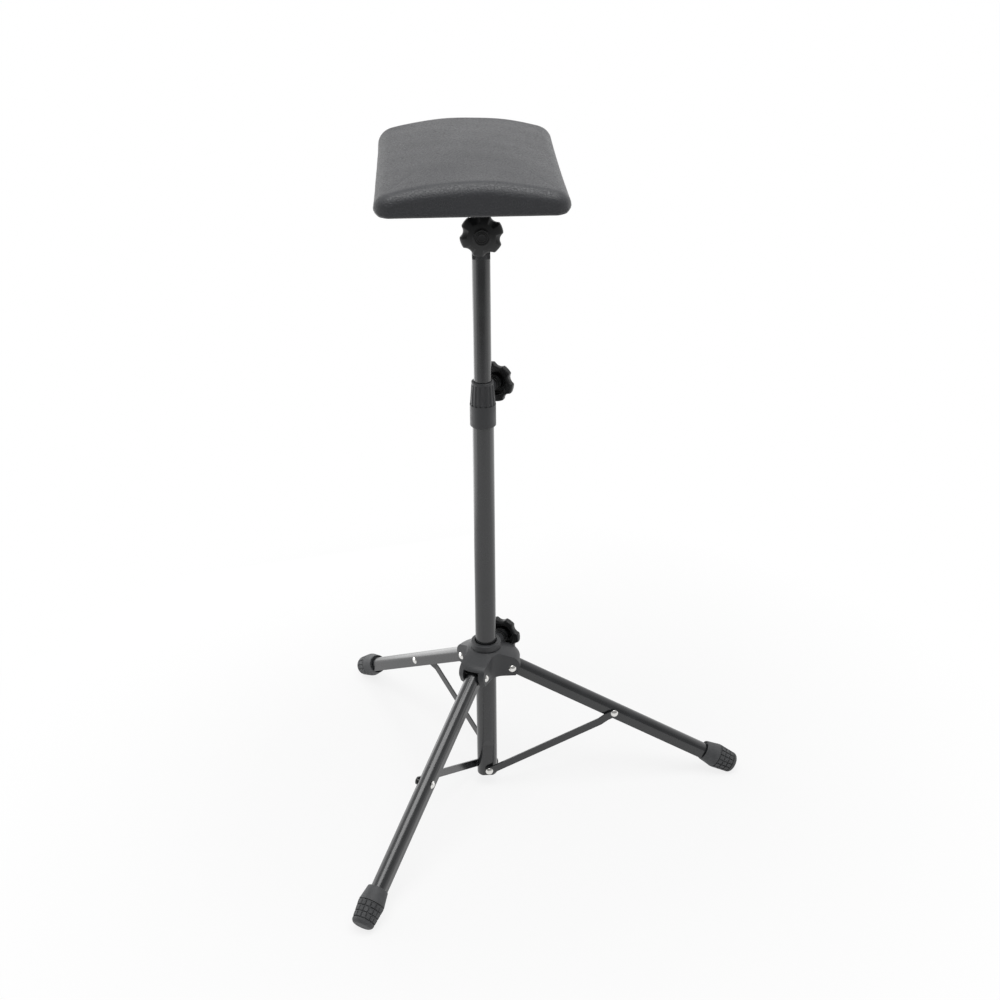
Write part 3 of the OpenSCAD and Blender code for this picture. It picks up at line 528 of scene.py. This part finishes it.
class CushionShape:
    """The cushion's rings, worked out from its settings."""
    # Points round the outline
    COLUMNS = 260
    # Rows of the heel's arc, the wall, the roll's arc and the crown, with the rows that they share
    HEEL, WALL, ROLL, CROWN = 7, 9, 10, 22
    # Rows from the pocket's middle to the heel's first, which lie on the board and don't move
    HELD = 8
    # How far an end's wall is drawn in half way up, in millimetres
    DRAW = 0.8

    def __init__(self, settings):
        self.s = settings
        self.edge, self.normal = pad_outline(settings.width, settings.length, settings.corner, self.COLUMNS)

    def wall(self, x):
        """Height of the upright wall: a parabola across the width."""
        return self.s.side_low + (self.s.side_high - self.s.side_low) * (1 - (2 * x / self.s.width) ** 2)

    def ring(self, inset, height, on_wall):
        """The outline drawn in along its normals, at a height over the base or over the wall."""
        xy = self.edge - np.reshape(inset, (-1, 1)) * self.normal
        z = height + (self.wall(xy[:, 0]) if on_wall else 0)
        return np.column_stack([xy, np.broadcast_to(z, len(xy))])

    def rings(self):
        """Pocket for the board, heel arc, drawn-in wall, roll arc and crown, from the pocket's middle to the crown's.
        The crown shrinks the roll's last ring and lifts it by its rise times the square of one less u squared and of
        one less v squared, with u and v the shares of half the width and half the length, so that it leaves the roll
        without a crease."""
        s = self.s
        pocket, ceiling = BOARD_INSET - POCKET_PLAY, BOARD_TOP + POCKET_PLAY
        heel = s.heel + (s.heel_end - s.heel) * self.normal[:, 1] ** 2
        rows = [self.ring(0, ceiling, False) * [t, t, 1] for t in (0, 0.3, 0.6)]
        rows += [self.ring(pocket, z, False) for z in (ceiling, BOARD_TOP / 2, 0.0)]
        rows += [self.ring(heel + (pocket - heel) * 0.4, 0.0, False)]
        for t in np.radians(np.linspace(0, 90, self.HEEL)):
            rows.append(self.ring(heel * (1 - math.sin(t)), heel * (1 - math.cos(t)), False))
        top = self.ring(0, 0, True)
        bow = 1 - (2 * top[:, 0] / s.width) ** 2
        for t in np.linspace(0, 1, self.WALL)[1:-1]:
            xy = self.edge - (self.DRAW * math.sin(math.pi * t) * bow)[:, None] * self.normal
            rows.append(np.column_stack([xy, heel + (top[:, 2] - heel) * t]))
        for t in np.radians(np.linspace(0, 90, self.ROLL)):
            rows.append(self.ring(s.roll * (1 - math.cos(t)), s.roll * math.sin(t), True))
        inner = self.edge - s.roll * self.normal
        for share in np.linspace(1, 0, self.CROWN)[1:]:
            xy = inner * share
            u, v = xy[:, 0] / (s.width / 2 - s.roll), xy[:, 1] / (s.length / 2 - s.roll)
            lift = s.crown * ((1 - u ** 2) * (1 - v ** 2)) ** 2
            rows.append(np.column_stack([xy, self.wall(xy[:, 0]) + s.roll + lift]))
        return np.stack(rows)


def press_with_foam(grid, pressure, held_rows):
    """The grid after a cloth simulation in which the foam's pressure pushes the cover outwards. The rows below
    held_rows stay, and no point moves further than the most push. The foam carries each push to its neighbours: the
    moves are averaged over the grid, which leaves no short wrinkle."""
    mesh = grid_mesh("cover_trial", [grid])
    trial = add_object("cover_trial", mesh)
    co = np.empty(len(mesh.vertices) * 3)
    mesh.vertices.foreach_get("co", co)
    co = co.reshape(-1, 3)
    # Each point of the grid is paired with the vertex that the merge left in its place
    tree = KDTree(len(co))
    for i, point in enumerate(co):
        tree.insert(point, i)
    tree.balance()
    pair = np.array([tree.find(point)[1] for point in grid.reshape(-1, 3) * MM])
    group = trial.vertex_groups.new(name="held")
    group.add(np.unique(pair[:held_rows * grid.shape[1]]).tolist(), 1.0, "REPLACE")
    cloth = trial.modifiers.new("Cover", "CLOTH").settings
    cloth.quality = 6
    cloth.mass = 0.3
    cloth.tension_stiffness = cloth.compression_stiffness = 30
    cloth.shear_stiffness = 12
    cloth.bending_stiffness = 6
    cloth.use_pressure = True
    cloth.uniform_pressure_force = pressure
    cloth.effector_weights.gravity = 0
    cloth.vertex_group_mass = "held"
    cloth.pin_stiffness = 50
    scene = bpy.context.scene
    for step in range(CLOTH_STEPS):
        scene.frame_set(1 + step)
    after = trial.evaluated_get(bpy.context.evaluated_depsgraph_get()).to_mesh()
    moved = np.empty(len(after.vertices) * 3)
    after.vertices.foreach_get("co", moved)
    shift = (moved.reshape(-1, 3) - co) / MM
    far = np.linalg.norm(shift, axis=1, keepdims=True)
    shift *= np.minimum(1, MOST_PUSH / np.maximum(far, 1e-9))
    scene.frame_set(1)
    bpy.data.objects.remove(trial)
    field = shift[pair].reshape(grid.shape)
    for _ in range(EVEN_PASSES):
        above, below = np.roll(field, -1, axis=0), np.roll(field, 1, axis=0)
        above[-1], below[0] = field[-1], field[0]
        field = (2 * field + above + below + np.roll(field, 1, axis=1) + np.roll(field, -1, axis=1)) / 6
        field[:held_rows], field[-1] = 0, field[-1].mean(axis=0)
    return grid + field


def relax_cover(grid, corner):
    """Small unevenness of a hand-pulled cover: a sum of slow sines of x and y moves each point up or down, and short
    pleats run up from the lower edge at the four corners. They follow the cosine of the angle round the corner, and
    fade as e to the power of less the square of the height over their reach."""
    x, y, z = grid[..., 0], grid[..., 1], grid[..., 2]
    wave = (0.30 * np.sin(x / 19 + 0.7) * np.cos(y / 27 - 0.4) + 0.22 * np.sin(x / 11 - y / 31 + 1.9)
            + 0.12 * np.sin(y / 8 + x / 23))
    # The sines fade in between 8 and 26 mm over the base
    out = grid.copy()
    out[..., 2] += wave * smooth_step(z, 8, 26)
    # Distances past the centre of the nearest corner's circle
    past_x, past_y = (np.abs(v) - (np.abs(v).max() - corner) for v in (x, y))
    angle = np.arctan2(past_y, past_x)
    near = smooth_step(past_x, -6, 6) * smooth_step(past_y, -6, 6)
    pleat_depth, pleat_foot, pleat_reach, pleats_per_turn = 0.55, 1.5, 6.0, 18
    pleat = np.cos(angle * pleats_per_turn) * np.exp(-((z - pleat_foot) / pleat_reach) ** 2) * near * pleat_depth
    outward = np.stack([np.cos(angle) * np.sign(x), np.sin(angle) * np.sign(y)], axis=-1)
    out[..., :2] += outward * pleat[..., None]
    return out


class ARMREST_OT_cushion(Operator):
    """Makes the cushion: a foam core with a leatherette cover, pressed out by a cloth simulation."""
    bl_idname = "armrest.cushion"
    bl_label = "Make cushion"

    def execute(self, context):
        settings = context.scene.armrest_cushion
        shape = CushionShape(settings)
        grid = shape.rings()
        grid = press_with_foam(grid, settings.pressure, shape.HELD)
        grid = relax_cover(grid, settings.corner) + [PAD_SHIFT, 0, PAD_UNDER]
        color = (*context.scene.armrest_finish.cover, 1.0)
        cover = finish("embossed_leatherette", embossed_leatherette, color, settings.grain)
        piece = add_piece("cushion", [grid], cover, "pad", ["pad_cushion"], sharp=60)
        smooth = piece.modifiers.new("Smooth", "SUBSURF")
        smooth.levels = smooth.render_levels = 1
        return {"FINISHED"}


def staple_wire():
    """Rings of a staple's wire: an ellipse swept along a flat U and closed at both ends. Its columns are the places
    along the staple, across it and up, in millimetres."""
    path = np.array([[-5.2, 0, 1.6], [-5.1, 0, 0.35], [-4.7, 0, 0], [0, 0, 0],
                     [4.7, 0, 0], [5.1, 0, 0.35], [5.2, 0, 1.6]])
    side = np.array([[0.5, 0, 0], [0.45, 0, 0.3], [0.1, 0, 0.5], [0, 0, 0.5],
                     [-0.1, 0, 0.5], [-0.45, 0, 0.3], [-0.5, 0, 0]])
    a = np.radians(np.arange(0, 360, 45))[None, :, None]
    half_width, flatness = 0.45, 0.7
    wire = path[:, None] + half_width * (np.cos(a) * side[:, None] / 0.5 * flatness
                                         + np.sin(a) * np.array([0, 1.0, 0]))
    first, last = (ring.mean(1, keepdims=True).repeat(len(wire[0]), 1) for ring in (wire[:1], wire[-1:]))
    return np.concatenate([first, wire, last])


class ARMREST_OT_undercloth(Operator):
    """Makes the black cloth under the board and the staples that hold it."""
    bl_idname = "armrest.undercloth"
    bl_label = "Make undercloth"

    def execute(self, context):
        settings = context.scene.armrest_cushion
        inset = BOARD_INSET - CLOTH_LAP
        width, length = settings.width - 2 * inset, settings.length - 2 * inset
        edge, _ = pad_outline(width, length, settings.corner / 2, 240)
        # Both faces shrink towards the middle in rows, and the lower one has waves up to slack millimetres deep
        rows, slack = 40, 0.35
        shares = np.concatenate([np.linspace(0, 1, rows), np.linspace(1, 0, rows)])
        xy = edge[None] * shares[:, None, None]
        wave = 0.5 + 0.25 * np.sin(xy[..., 0] / 9 + xy[..., 1] / 31) + 0.25 * np.cos(xy[..., 1] / 13 - 0.8)
        upper = (np.arange(2 * rows) < rows)[:, None]
        depth = np.where(upper, 0.0, -CLOTH_THICK + slack * wave * smooth_step(1 - shares, 0.02, 0.2)[:, None])
        grid = np.concatenate([xy + [PAD_SHIFT, 0], (PAD_UNDER + depth)[..., None]], axis=-1)
        felt = finish("spunbond_cloth", spunbond_cloth)
        cloth = add_piece("undercloth", [grid], felt, "pad", ["pad_undercloth"])
        # Staples: how many, how far in from the cloth's edge, and how deep in the felt
        count, edge_gap, sunk = 34, 5.0, 0.25
        places, normals = pad_outline(width - 2 * edge_gap, length - 2 * edge_gap, settings.corner / 2, count)
        along, across, up = np.moveaxis(staple_wire(), -1, 0)
        height = PAD_UNDER - CLOTH_THICK - sunk + up
        grids = [np.stack([p[0] + PAD_SHIFT - n[1] * along + n[0] * across,
                           p[1] + n[0] * along + n[1] * across, height], axis=-1) for p, n in zip(places, normals)]
        add_piece("staples", grids, zinc_steel(), "pad")
        return {"FINISHED"}


class ARMREST_OT_screws(Operator):
    """Makes the cross-head wood screws of the mounting plate."""
    bl_idname = "armrest.screws"
    bl_label = "Make wood screws"

    def execute(self, context):
        low, high = (np.array(corner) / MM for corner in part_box("pad_screws"))
        centre, reach = (low + high) / 2, (high - low) / 2 - SCREW_HEAD_R
        rings, angle = 26, np.linspace(0, 2 * math.pi, 72, endpoint=False)
        r = np.concatenate([np.linspace(0, 1, rings) * SCREW_HEAD_R, [SCREW_SHANK_R, SCREW_SHANK_R, 0.0]])
        x, y = r[:, None] * np.cos(angle), r[:, None] * np.sin(angle)

        def slot(a, b):
            """1 in a slot 1.1 mm wide along a and 4.3 mm long along b, and 0 outside it."""
            return (1 - smooth_step(np.abs(a), 0.45, 0.65)) * (1 - smooth_step(np.abs(b), 1.9, 2.4))

        # A dome less a cross of two slots, which are deepest in the middle, then the shank up to its end
        dome = SCREW_HEAD_H * np.sqrt(np.clip(1 - (r / (SCREW_HEAD_R + 0.05)) ** 2, 0, 1))[:, None]
        height = dome - np.maximum(slot(x, y), slot(y, x)) * (1.5 - 0.35 * np.hypot(x, y))
        height[rings - 1:] = np.array([0.0, 0.0, -SCREW_LENGTH, -SCREW_LENGTH])[:, None]
        top = low[2] + SCREW_HEAD_H
        grids = [np.stack([centre[0] + sx * reach[0] + x, centre[1] + sy * reach[1] - y,
                           np.broadcast_to(top - height, x.shape)], axis=-1) for sx in (-1, 1) for sy in (-1, 1)]
        add_piece("wood_screws", grids, zinc_steel(), "pad", ["pad_screws"])
        return {"FINISHED"}


def star_plan(settings):
    """Radius of the star's outline at each angle: the tips' circle, cut by a scoop circle between every two tips, with
    the corners rounded over. A scoop is met at its distance times the angle's cosine, less the root of its radius
    squared less the square of its distance times the angle's sine."""
    def plan(angle):
        """The outline's radius at each of the angles."""
        step = 2 * math.pi / settings.tips
        a = (angle % step) - step / 2
        inside = SCOOP_R ** 2 - (SCOOP_AT * np.sin(a)) ** 2
        met = np.where(inside > 0, SCOOP_AT * np.cos(a) - np.sqrt(np.maximum(inside, 0)), SCOOP_AT)
        return smooth_min(np.full_like(a, settings.tip), met, SCOOP_ROUNDING)

    return plan


def star_profile(settings, bore, bore_deep):
    """Half section of a star knob from the middle of its back to the middle of its face: bore, hub, hollow back, side
    wall and domed face. The dome is the ball through the side wall's upper edge with its top at the knob's front: its
    height is the front less the ball's radius, plus the root of that radius squared less the place's radius squared.
    Its rim is rounded, and a seat for the cap is sunk."""
    low, top = KNOB_HUB, KNOB_HUB + settings.thickness
    rise = settings.thickness - settings.side
    ball = (settings.tip ** 2 + rise ** 2) / (2 * rise)
    # Radius and height of bore, hub, the web behind it and the hollow, whose floor is 8 mm in
    inner = np.array([
        [0, bore_deep], [bore, bore_deep], [bore, 0.4], [bore + 0.4, 0], [7.6, 0], [8, 0.4], [8, low - 0.3],
        [8.3, low], [9.3, low], [9.6, low + 0.3], [9.6, low + 7.4], [10.2, low + 8],
        [15.4, low + 8], [16, low + 7.4], [16, low + 0.5], [16.5, low]])
    # How far in from the star's outline, and height: back edge, side wall with its rounded rim, and start of the dome
    r, rim = settings.rounding, low + settings.side
    back = arc(r, low + r, r, 270, 180, 8)
    side = np.array([[0, rim - 2.2], [0.12, rim - 1.1], [0.5, rim - 0.2], [1.2, rim + 0.55]])
    inset = np.linspace(2.2, 6.4, 5)
    slope = np.column_stack([inset, top - ball + np.sqrt(ball ** 2 - (settings.tip - inset) ** 2)])
    star = np.concatenate([back, side, slope])
    # Radius and height of the dome's middle and the cap's seat
    x = np.linspace(15.6, CAP_R + 0.9, 6)
    dome = np.column_stack([x, top - ball + np.sqrt(ball ** 2 - x ** 2)])
    seat, seat_r = top - CAP_SINK, CAP_R + 0.1
    face = np.concatenate([dome, [[CAP_R + 0.35, seat + 1.35], [seat_r, seat + 1.0], [seat_r, seat], [0, seat]]])
    return np.concatenate([
        np.column_stack([line, np.full(len(line), on_star)]) for line, on_star in ((inner, 0), (star, 1), (face, 0))])


def cap_profile(settings):
    """Half section of a knob's cap: a disc whose face steps down in rings towards a plain middle."""
    low = KNOB_HUB + settings.thickness - CAP_SINK
    r = np.array([0, 8.95, 8.95, 8.75, 8.3, 8.0, 7.75, 7.5, 6.4, 6.15,
                  5.9, 5.65, 5.4, 4.6, 4.35, 4.1, 3.85, 3.6, 1.8, 0])
    z = np.array([0, 0, 1.6, 1.9, 2.1, 2.05, 1.55, 1.5, 1.6, 2.0,
                  2.1, 2.0, 1.6, 1.65, 2.1, 2.25, 2.2, 2.1, 2.1, 2.1])
    return np.column_stack([r, z + low])


class ARMREST_OT_knobs(Operator):
    """Makes the three star knobs and their caps."""
    bl_idname = "armrest.knobs"
    bl_label = "Make star knobs"

    def execute(self, context):
        settings = context.scene.armrest_knobs
        # Name, place, and the bore's radius and depth. Each is spun as in the photograph, and the hub's knob is midway
        # between two legs
        tilt_axes = spun(np.array([1.0, 0, 0]), UP, np.array([0, -1.0, 0]), 20)
        knobs = [
            ("tilt", ((0, -TILT_KNOB_BACK, TILT_Z), tilt_axes), 6.05, 11.0),
            ("height", outward_knob(HEIGHT_KNOB_TURN, HEIGHT_KNOB_BACK, HEIGHT_KNOB_Z, -16), 4.05, 15.0),
            ("hub", outward_knob(LEG_TURN + 60, HUB_KNOB_BACK, HUB_KNOB_Z, 28), 4.05, 15.0),
        ]
        for name, place, bore, deep in knobs:
            # 30 points for each tip
            star = turned(star_profile(settings, bore, deep), place, 30 * settings.tips, star_plan(settings))
            cap = turned(cap_profile(settings), place)
            body = f"{name}_clamp_knob"
            add_piece(f"star_knob_{name}", [star], knob_nylon(), body, [f"{name}_knob"])
            add_piece(f"knob_cap_{name}", [cap], knob_nylon(), body, [f"{name}_knob_cap"])
        return {"FINISHED"}


class ARMREST_OT_feet(Operator):
    """Makes the three rubber feet with their tread."""
    bl_idname = "armrest.feet"
    bl_label = "Make rubber feet"

    def execute(self, context):
        settings = context.scene.armrest_feet
        # Outer line of the foot, as distance along the leg and radius: rim, flare, tread, toe
        rim = np.array([[1.8, 0], [1.8, 9.3], [1.7, 10.0], [0.9, 10.7],
                        [0.2, 11.3], [0, 11.7], [0.1, 12.1], [0.5, 12.45]])
        flare = np.linspace(1.2, FLARE_END - 0.5, 12)
        flare = np.column_stack([flare, 12.5 + (flare / FLARE_END) ** 1.1 * 3.2])
        fine = np.linspace(FLARE_END, TREAD_END, 110)
        tread = np.column_stack([fine, FLARE_R - (fine - FLARE_END) * (FLARE_R - TREAD_R) / (TREAD_END - FLARE_END)])
        toe = arc(TREAD_END, TREAD_R - TOE_R, TOE_R, 90, 0, 12)
        end = TREAD_END + TOE_R
        line = np.concatenate([rim, flare, tread, toe[1:], [[end, 5.0], [end, 0]]])
        s, radius = line[:, 0], line[:, 1]
        # 20 points for each block
        angle = np.linspace(0, 2 * math.pi, 20 * settings.blocks, endpoint=False)
        # Rings a pitch apart and slots between the blocks, each flat for flat mm and ending with rounded shoulders
        flat, shoulder, mean_r = 0.3, 0.85, 14.8
        first, last = 19.0, 19.0 + settings.pitch * settings.rows
        ring = (s - first) / settings.pitch
        off_ring = np.abs(ring - np.round(ring)) * settings.pitch
        in_tread = (s > first - 0.9) & (s < last + 0.9)
        rings = np.where(in_tread, 1 - smooth_step(off_ring, flat, shoulder), 0)
        turns = angle * settings.blocks / (2 * math.pi)
        between = np.abs((turns + 0.5) % 1 - 0.5) * 2 * math.pi / settings.blocks * mean_r
        slots = 1 - smooth_step(between, flat, shoulder)
        along = smooth_step(s, first - 0.4, first) * (1 - smooth_step(s, last, last + 0.4))
        cut = np.maximum(rings[:, None], along[:, None] * slots[None])
        r = radius[:, None] - settings.groove * cut
        rubber, slope = finish("moulded_rubber", moulded_rubber), math.radians(LEG_SLOPE)
        for k, side in enumerate(SIDES):
            out, across = outward(LEG_TURN + 120 * k)
            leg = out * math.cos(slope) - UP * math.sin(slope)
            rise = out * math.sin(slope) + UP * math.cos(slope)
            pivot = out * PIVOT_R + UP * HUB_Z
            grid = (pivot + (LEG_REACH + s)[:, None, None] * leg
                    + r[..., None] * (np.cos(angle)[:, None] * rise + np.sin(angle)[:, None] * across))
            # The floor wears each foot flat
            grid[..., 2] = np.maximum(grid[..., 2], 0)
            add_piece(f"rubber_foot_{side}", [grid], rubber, f"leg_{side}_body", [f"foot_{side}"])
        return {"FINISHED"}


def area_lamp(name, place, aim, width, height, radiance):
    """A soft panel of light at a place, turned to face its aim, in metres. Its power is pi times its area times the
    brightness that its face shows, where 1 is white. It is not seen directly."""
    lamp = bpy.data.lights.new(name, "AREA")
    lamp.shape, lamp.size, lamp.size_y = "RECTANGLE", width, height
    lamp.energy = math.pi * width * height * radiance
    thing = add_object(name, lamp)
    thing.location = place
    thing.rotation_euler = (Vector(aim) - Vector(place)).to_track_quat("-Z", "Y").to_euler()
    thing.visible_camera = False


def seen_rays(tree):
    """1 for the rays that show the background: from the camera, off a glossy surface or through a clear one."""
    path = add_node(tree, "ShaderNodeLightPath")
    near = add_node(tree, "ShaderNodeMath", {"operation": "MAXIMUM"}, {
        0: path.outputs["Is Camera Ray"], 1: path.outputs["Is Glossy Ray"]})
    return add_node(tree, "ShaderNodeMath", {"operation": "MAXIMUM"}, {
        0: near.outputs["Value"], 1: path.outputs["Is Transmission Ray"]}).outputs["Value"]


def make_floor():
    """The white floor, from 1.35 m in front of the stand to 8 m behind it, which keeps the stand's shadow."""
    mesh = bpy.data.meshes.new("studio_floor")
    mesh.from_pydata([(-6, -1.35, 0), (6, -1.35, 0), (6, 8, 0), (-6, 8, 0)], [], [(0, 1, 2, 3)])
    floor = add_object("studio_floor", mesh)
    material, tree, place = start_material("painted_studio_floor")
    paint = add_node(tree, "ShaderNodeBsdfPrincipled", inputs={
        "Base Color": linear("#f0f0f0"), "Roughness": 0.9, "Specular IOR Level": 0.1})
    # Near the stand part of the floor's white is its own, so that the shadow stays faint, and far off all of it is
    far = add_node(tree, "ShaderNodeVectorMath", {"operation": "LENGTH"}, {0: place})
    own = add_node(tree, "ShaderNodeMapRange", inputs={
        "Value": far.outputs["Value"], "From Min": 0.3, "From Max": 0.75, "To Min": 0.82, "To Max": 1.0})
    white = add_node(tree, "ShaderNodeEmission", inputs={"Color": linear("#ffffff"), "Strength": 1.0})
    share = add_node(tree, "ShaderNodeMath", {"operation": "MULTIPLY"}, {
        0: own.outputs["Result"], 1: seen_rays(tree)})
    mix = add_node(tree, "ShaderNodeMixShader", inputs={
        "Fac": share.outputs["Value"], 1: paint.outputs["BSDF"], 2: white.outputs["Emission"]})
    add_node(tree, "ShaderNodeOutputMaterial", inputs={"Surface": mix.outputs["Shader"]})
    mesh.materials.append(material)


def make_world():
    """The studio's light from all round, and the white that shows behind the stand."""
    world = bpy.data.worlds.new("studio")
    bpy.context.scene.world = world
    world.use_nodes = True
    tree = world.node_tree
    tree.nodes.clear()
    lit = add_node(tree, "ShaderNodeBackground", inputs={"Color": linear("#ffffff"), "Strength": WORLD_LIGHT})
    # A glossy surface sees the white backdrop behind the stand, and the dimmer room on the camera's side
    direction = add_node(tree, "ShaderNodeSeparateXYZ", inputs={
        "Vector": add_node(tree, "ShaderNodeTexCoord").outputs["Generated"]})
    backdrop = add_node(tree, "ShaderNodeMapRange", inputs={
        "Value": direction.outputs["Y"], "From Min": -0.6, "From Max": 0.2, "To Min": ROOM_LIGHT, "To Max": 1.0})
    path = add_node(tree, "ShaderNodeLightPath")
    strength = add_node(tree, "ShaderNodeMath", {"operation": "MAXIMUM"}, {
        0: path.outputs["Is Camera Ray"], 1: backdrop.outputs["Result"]})
    seen = add_node(tree, "ShaderNodeBackground", inputs={
        "Color": linear("#ffffff"), "Strength": strength.outputs["Value"]})
    mix = add_node(tree, "ShaderNodeMixShader", inputs={
        "Fac": seen_rays(tree), 1: lit.outputs["Background"], 2: seen.outputs["Background"]})
    add_node(tree, "ShaderNodeOutputWorld", inputs={"Surface": mix.outputs["Shader"]})


def make_camera():
    """A camera where the photograph's stood. Yaw turns it from +y towards +x, pitch tips it down, and roll turns it
    round its line of sight."""
    camera = bpy.data.cameras.new("camera")
    camera.lens, camera.sensor_width = CAMERA_LENS, 36.0
    camera.clip_start, camera.clip_end = 0.05, 50
    holder = add_object("camera", camera)
    yaw, pitch, roll = (math.radians(v) for v in CAMERA_TURN)
    ahead = Vector((math.sin(yaw) * math.cos(pitch), math.cos(yaw) * math.cos(pitch), -math.sin(pitch)))
    right = Vector((math.cos(yaw), -math.sin(yaw), 0))
    up = right.cross(ahead)
    x_axis = right * math.cos(roll) + up * math.sin(roll)
    y_axis = up * math.cos(roll) - right * math.sin(roll)
    turn = Matrix((x_axis, y_axis, -ahead)).transposed()
    holder.matrix_world = Matrix.Translation(CAMERA_PLACE) @ turn.to_4x4()
    bpy.context.scene.camera = holder


class ARMREST_OT_stage(Operator):
    """Makes the floor, the light and the camera."""
    bl_idname = "armrest.stage"
    bl_label = "Make stage"

    def execute(self, context):
        make_floor()
        make_world()
        for lamp in LAMPS:
            area_lamp(*lamp)
        make_camera()
        context.scene.view_settings.view_transform = "Standard"
        return {"FINISHED"}


class ARMREST_PT_panel(Panel):
    """Lists the makers of the stand's pieces."""
    bl_idname = "ARMREST_PT_panel"
    bl_label = "Arm rest stand"
    bl_space_type = "VIEW_3D"
    bl_region_type = "UI"
    bl_category = "Arm rest"

    def draw(self, context):
        for operator in OPERATORS:
            self.layout.operator(operator.bl_idname)
        for group, kind in GROUPS.items():
            for name in kind.__annotations__:
                self.layout.prop(getattr(context.scene, group), name)


OPERATORS = (ARMREST_OT_finishes, ARMREST_OT_cushion, ARMREST_OT_undercloth, ARMREST_OT_screws, ARMREST_OT_knobs,
             ARMREST_OT_feet, ARMREST_OT_stage)
GROUPS = {"armrest_cushion": CushionSettings, "armrest_knobs": KnobSettings, "armrest_feet": FootSettings,
          "armrest_finish": FinishSettings}


def register():
    """Adds the settings, the operators and the panel."""
    for name, group in GROUPS.items():
        bpy.utils.register_class(group)
        setattr(bpy.types.Scene, name, PointerProperty(type=group))
    for item in (*OPERATORS, ARMREST_PT_panel):
        bpy.utils.register_class(item)


def unregister():
    """Takes away what register added."""
    for item in (ARMREST_PT_panel, *reversed(OPERATORS)):
        bpy.utils.unregister_class(item)
    for name, group in GROUPS.items():
        delattr(bpy.types.Scene, name)
        bpy.utils.unregister_class(group)


def main():
    """Registers the add-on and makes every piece."""
    register()
    bpy.ops.armrest.finishes()
    bpy.ops.armrest.cushion()
    bpy.ops.armrest.undercloth()
    bpy.ops.armrest.screws()
    bpy.ops.armrest.knobs()
    bpy.ops.armrest.feet()
    bpy.ops.armrest.stage()


if __name__ == "__main__":
    main()
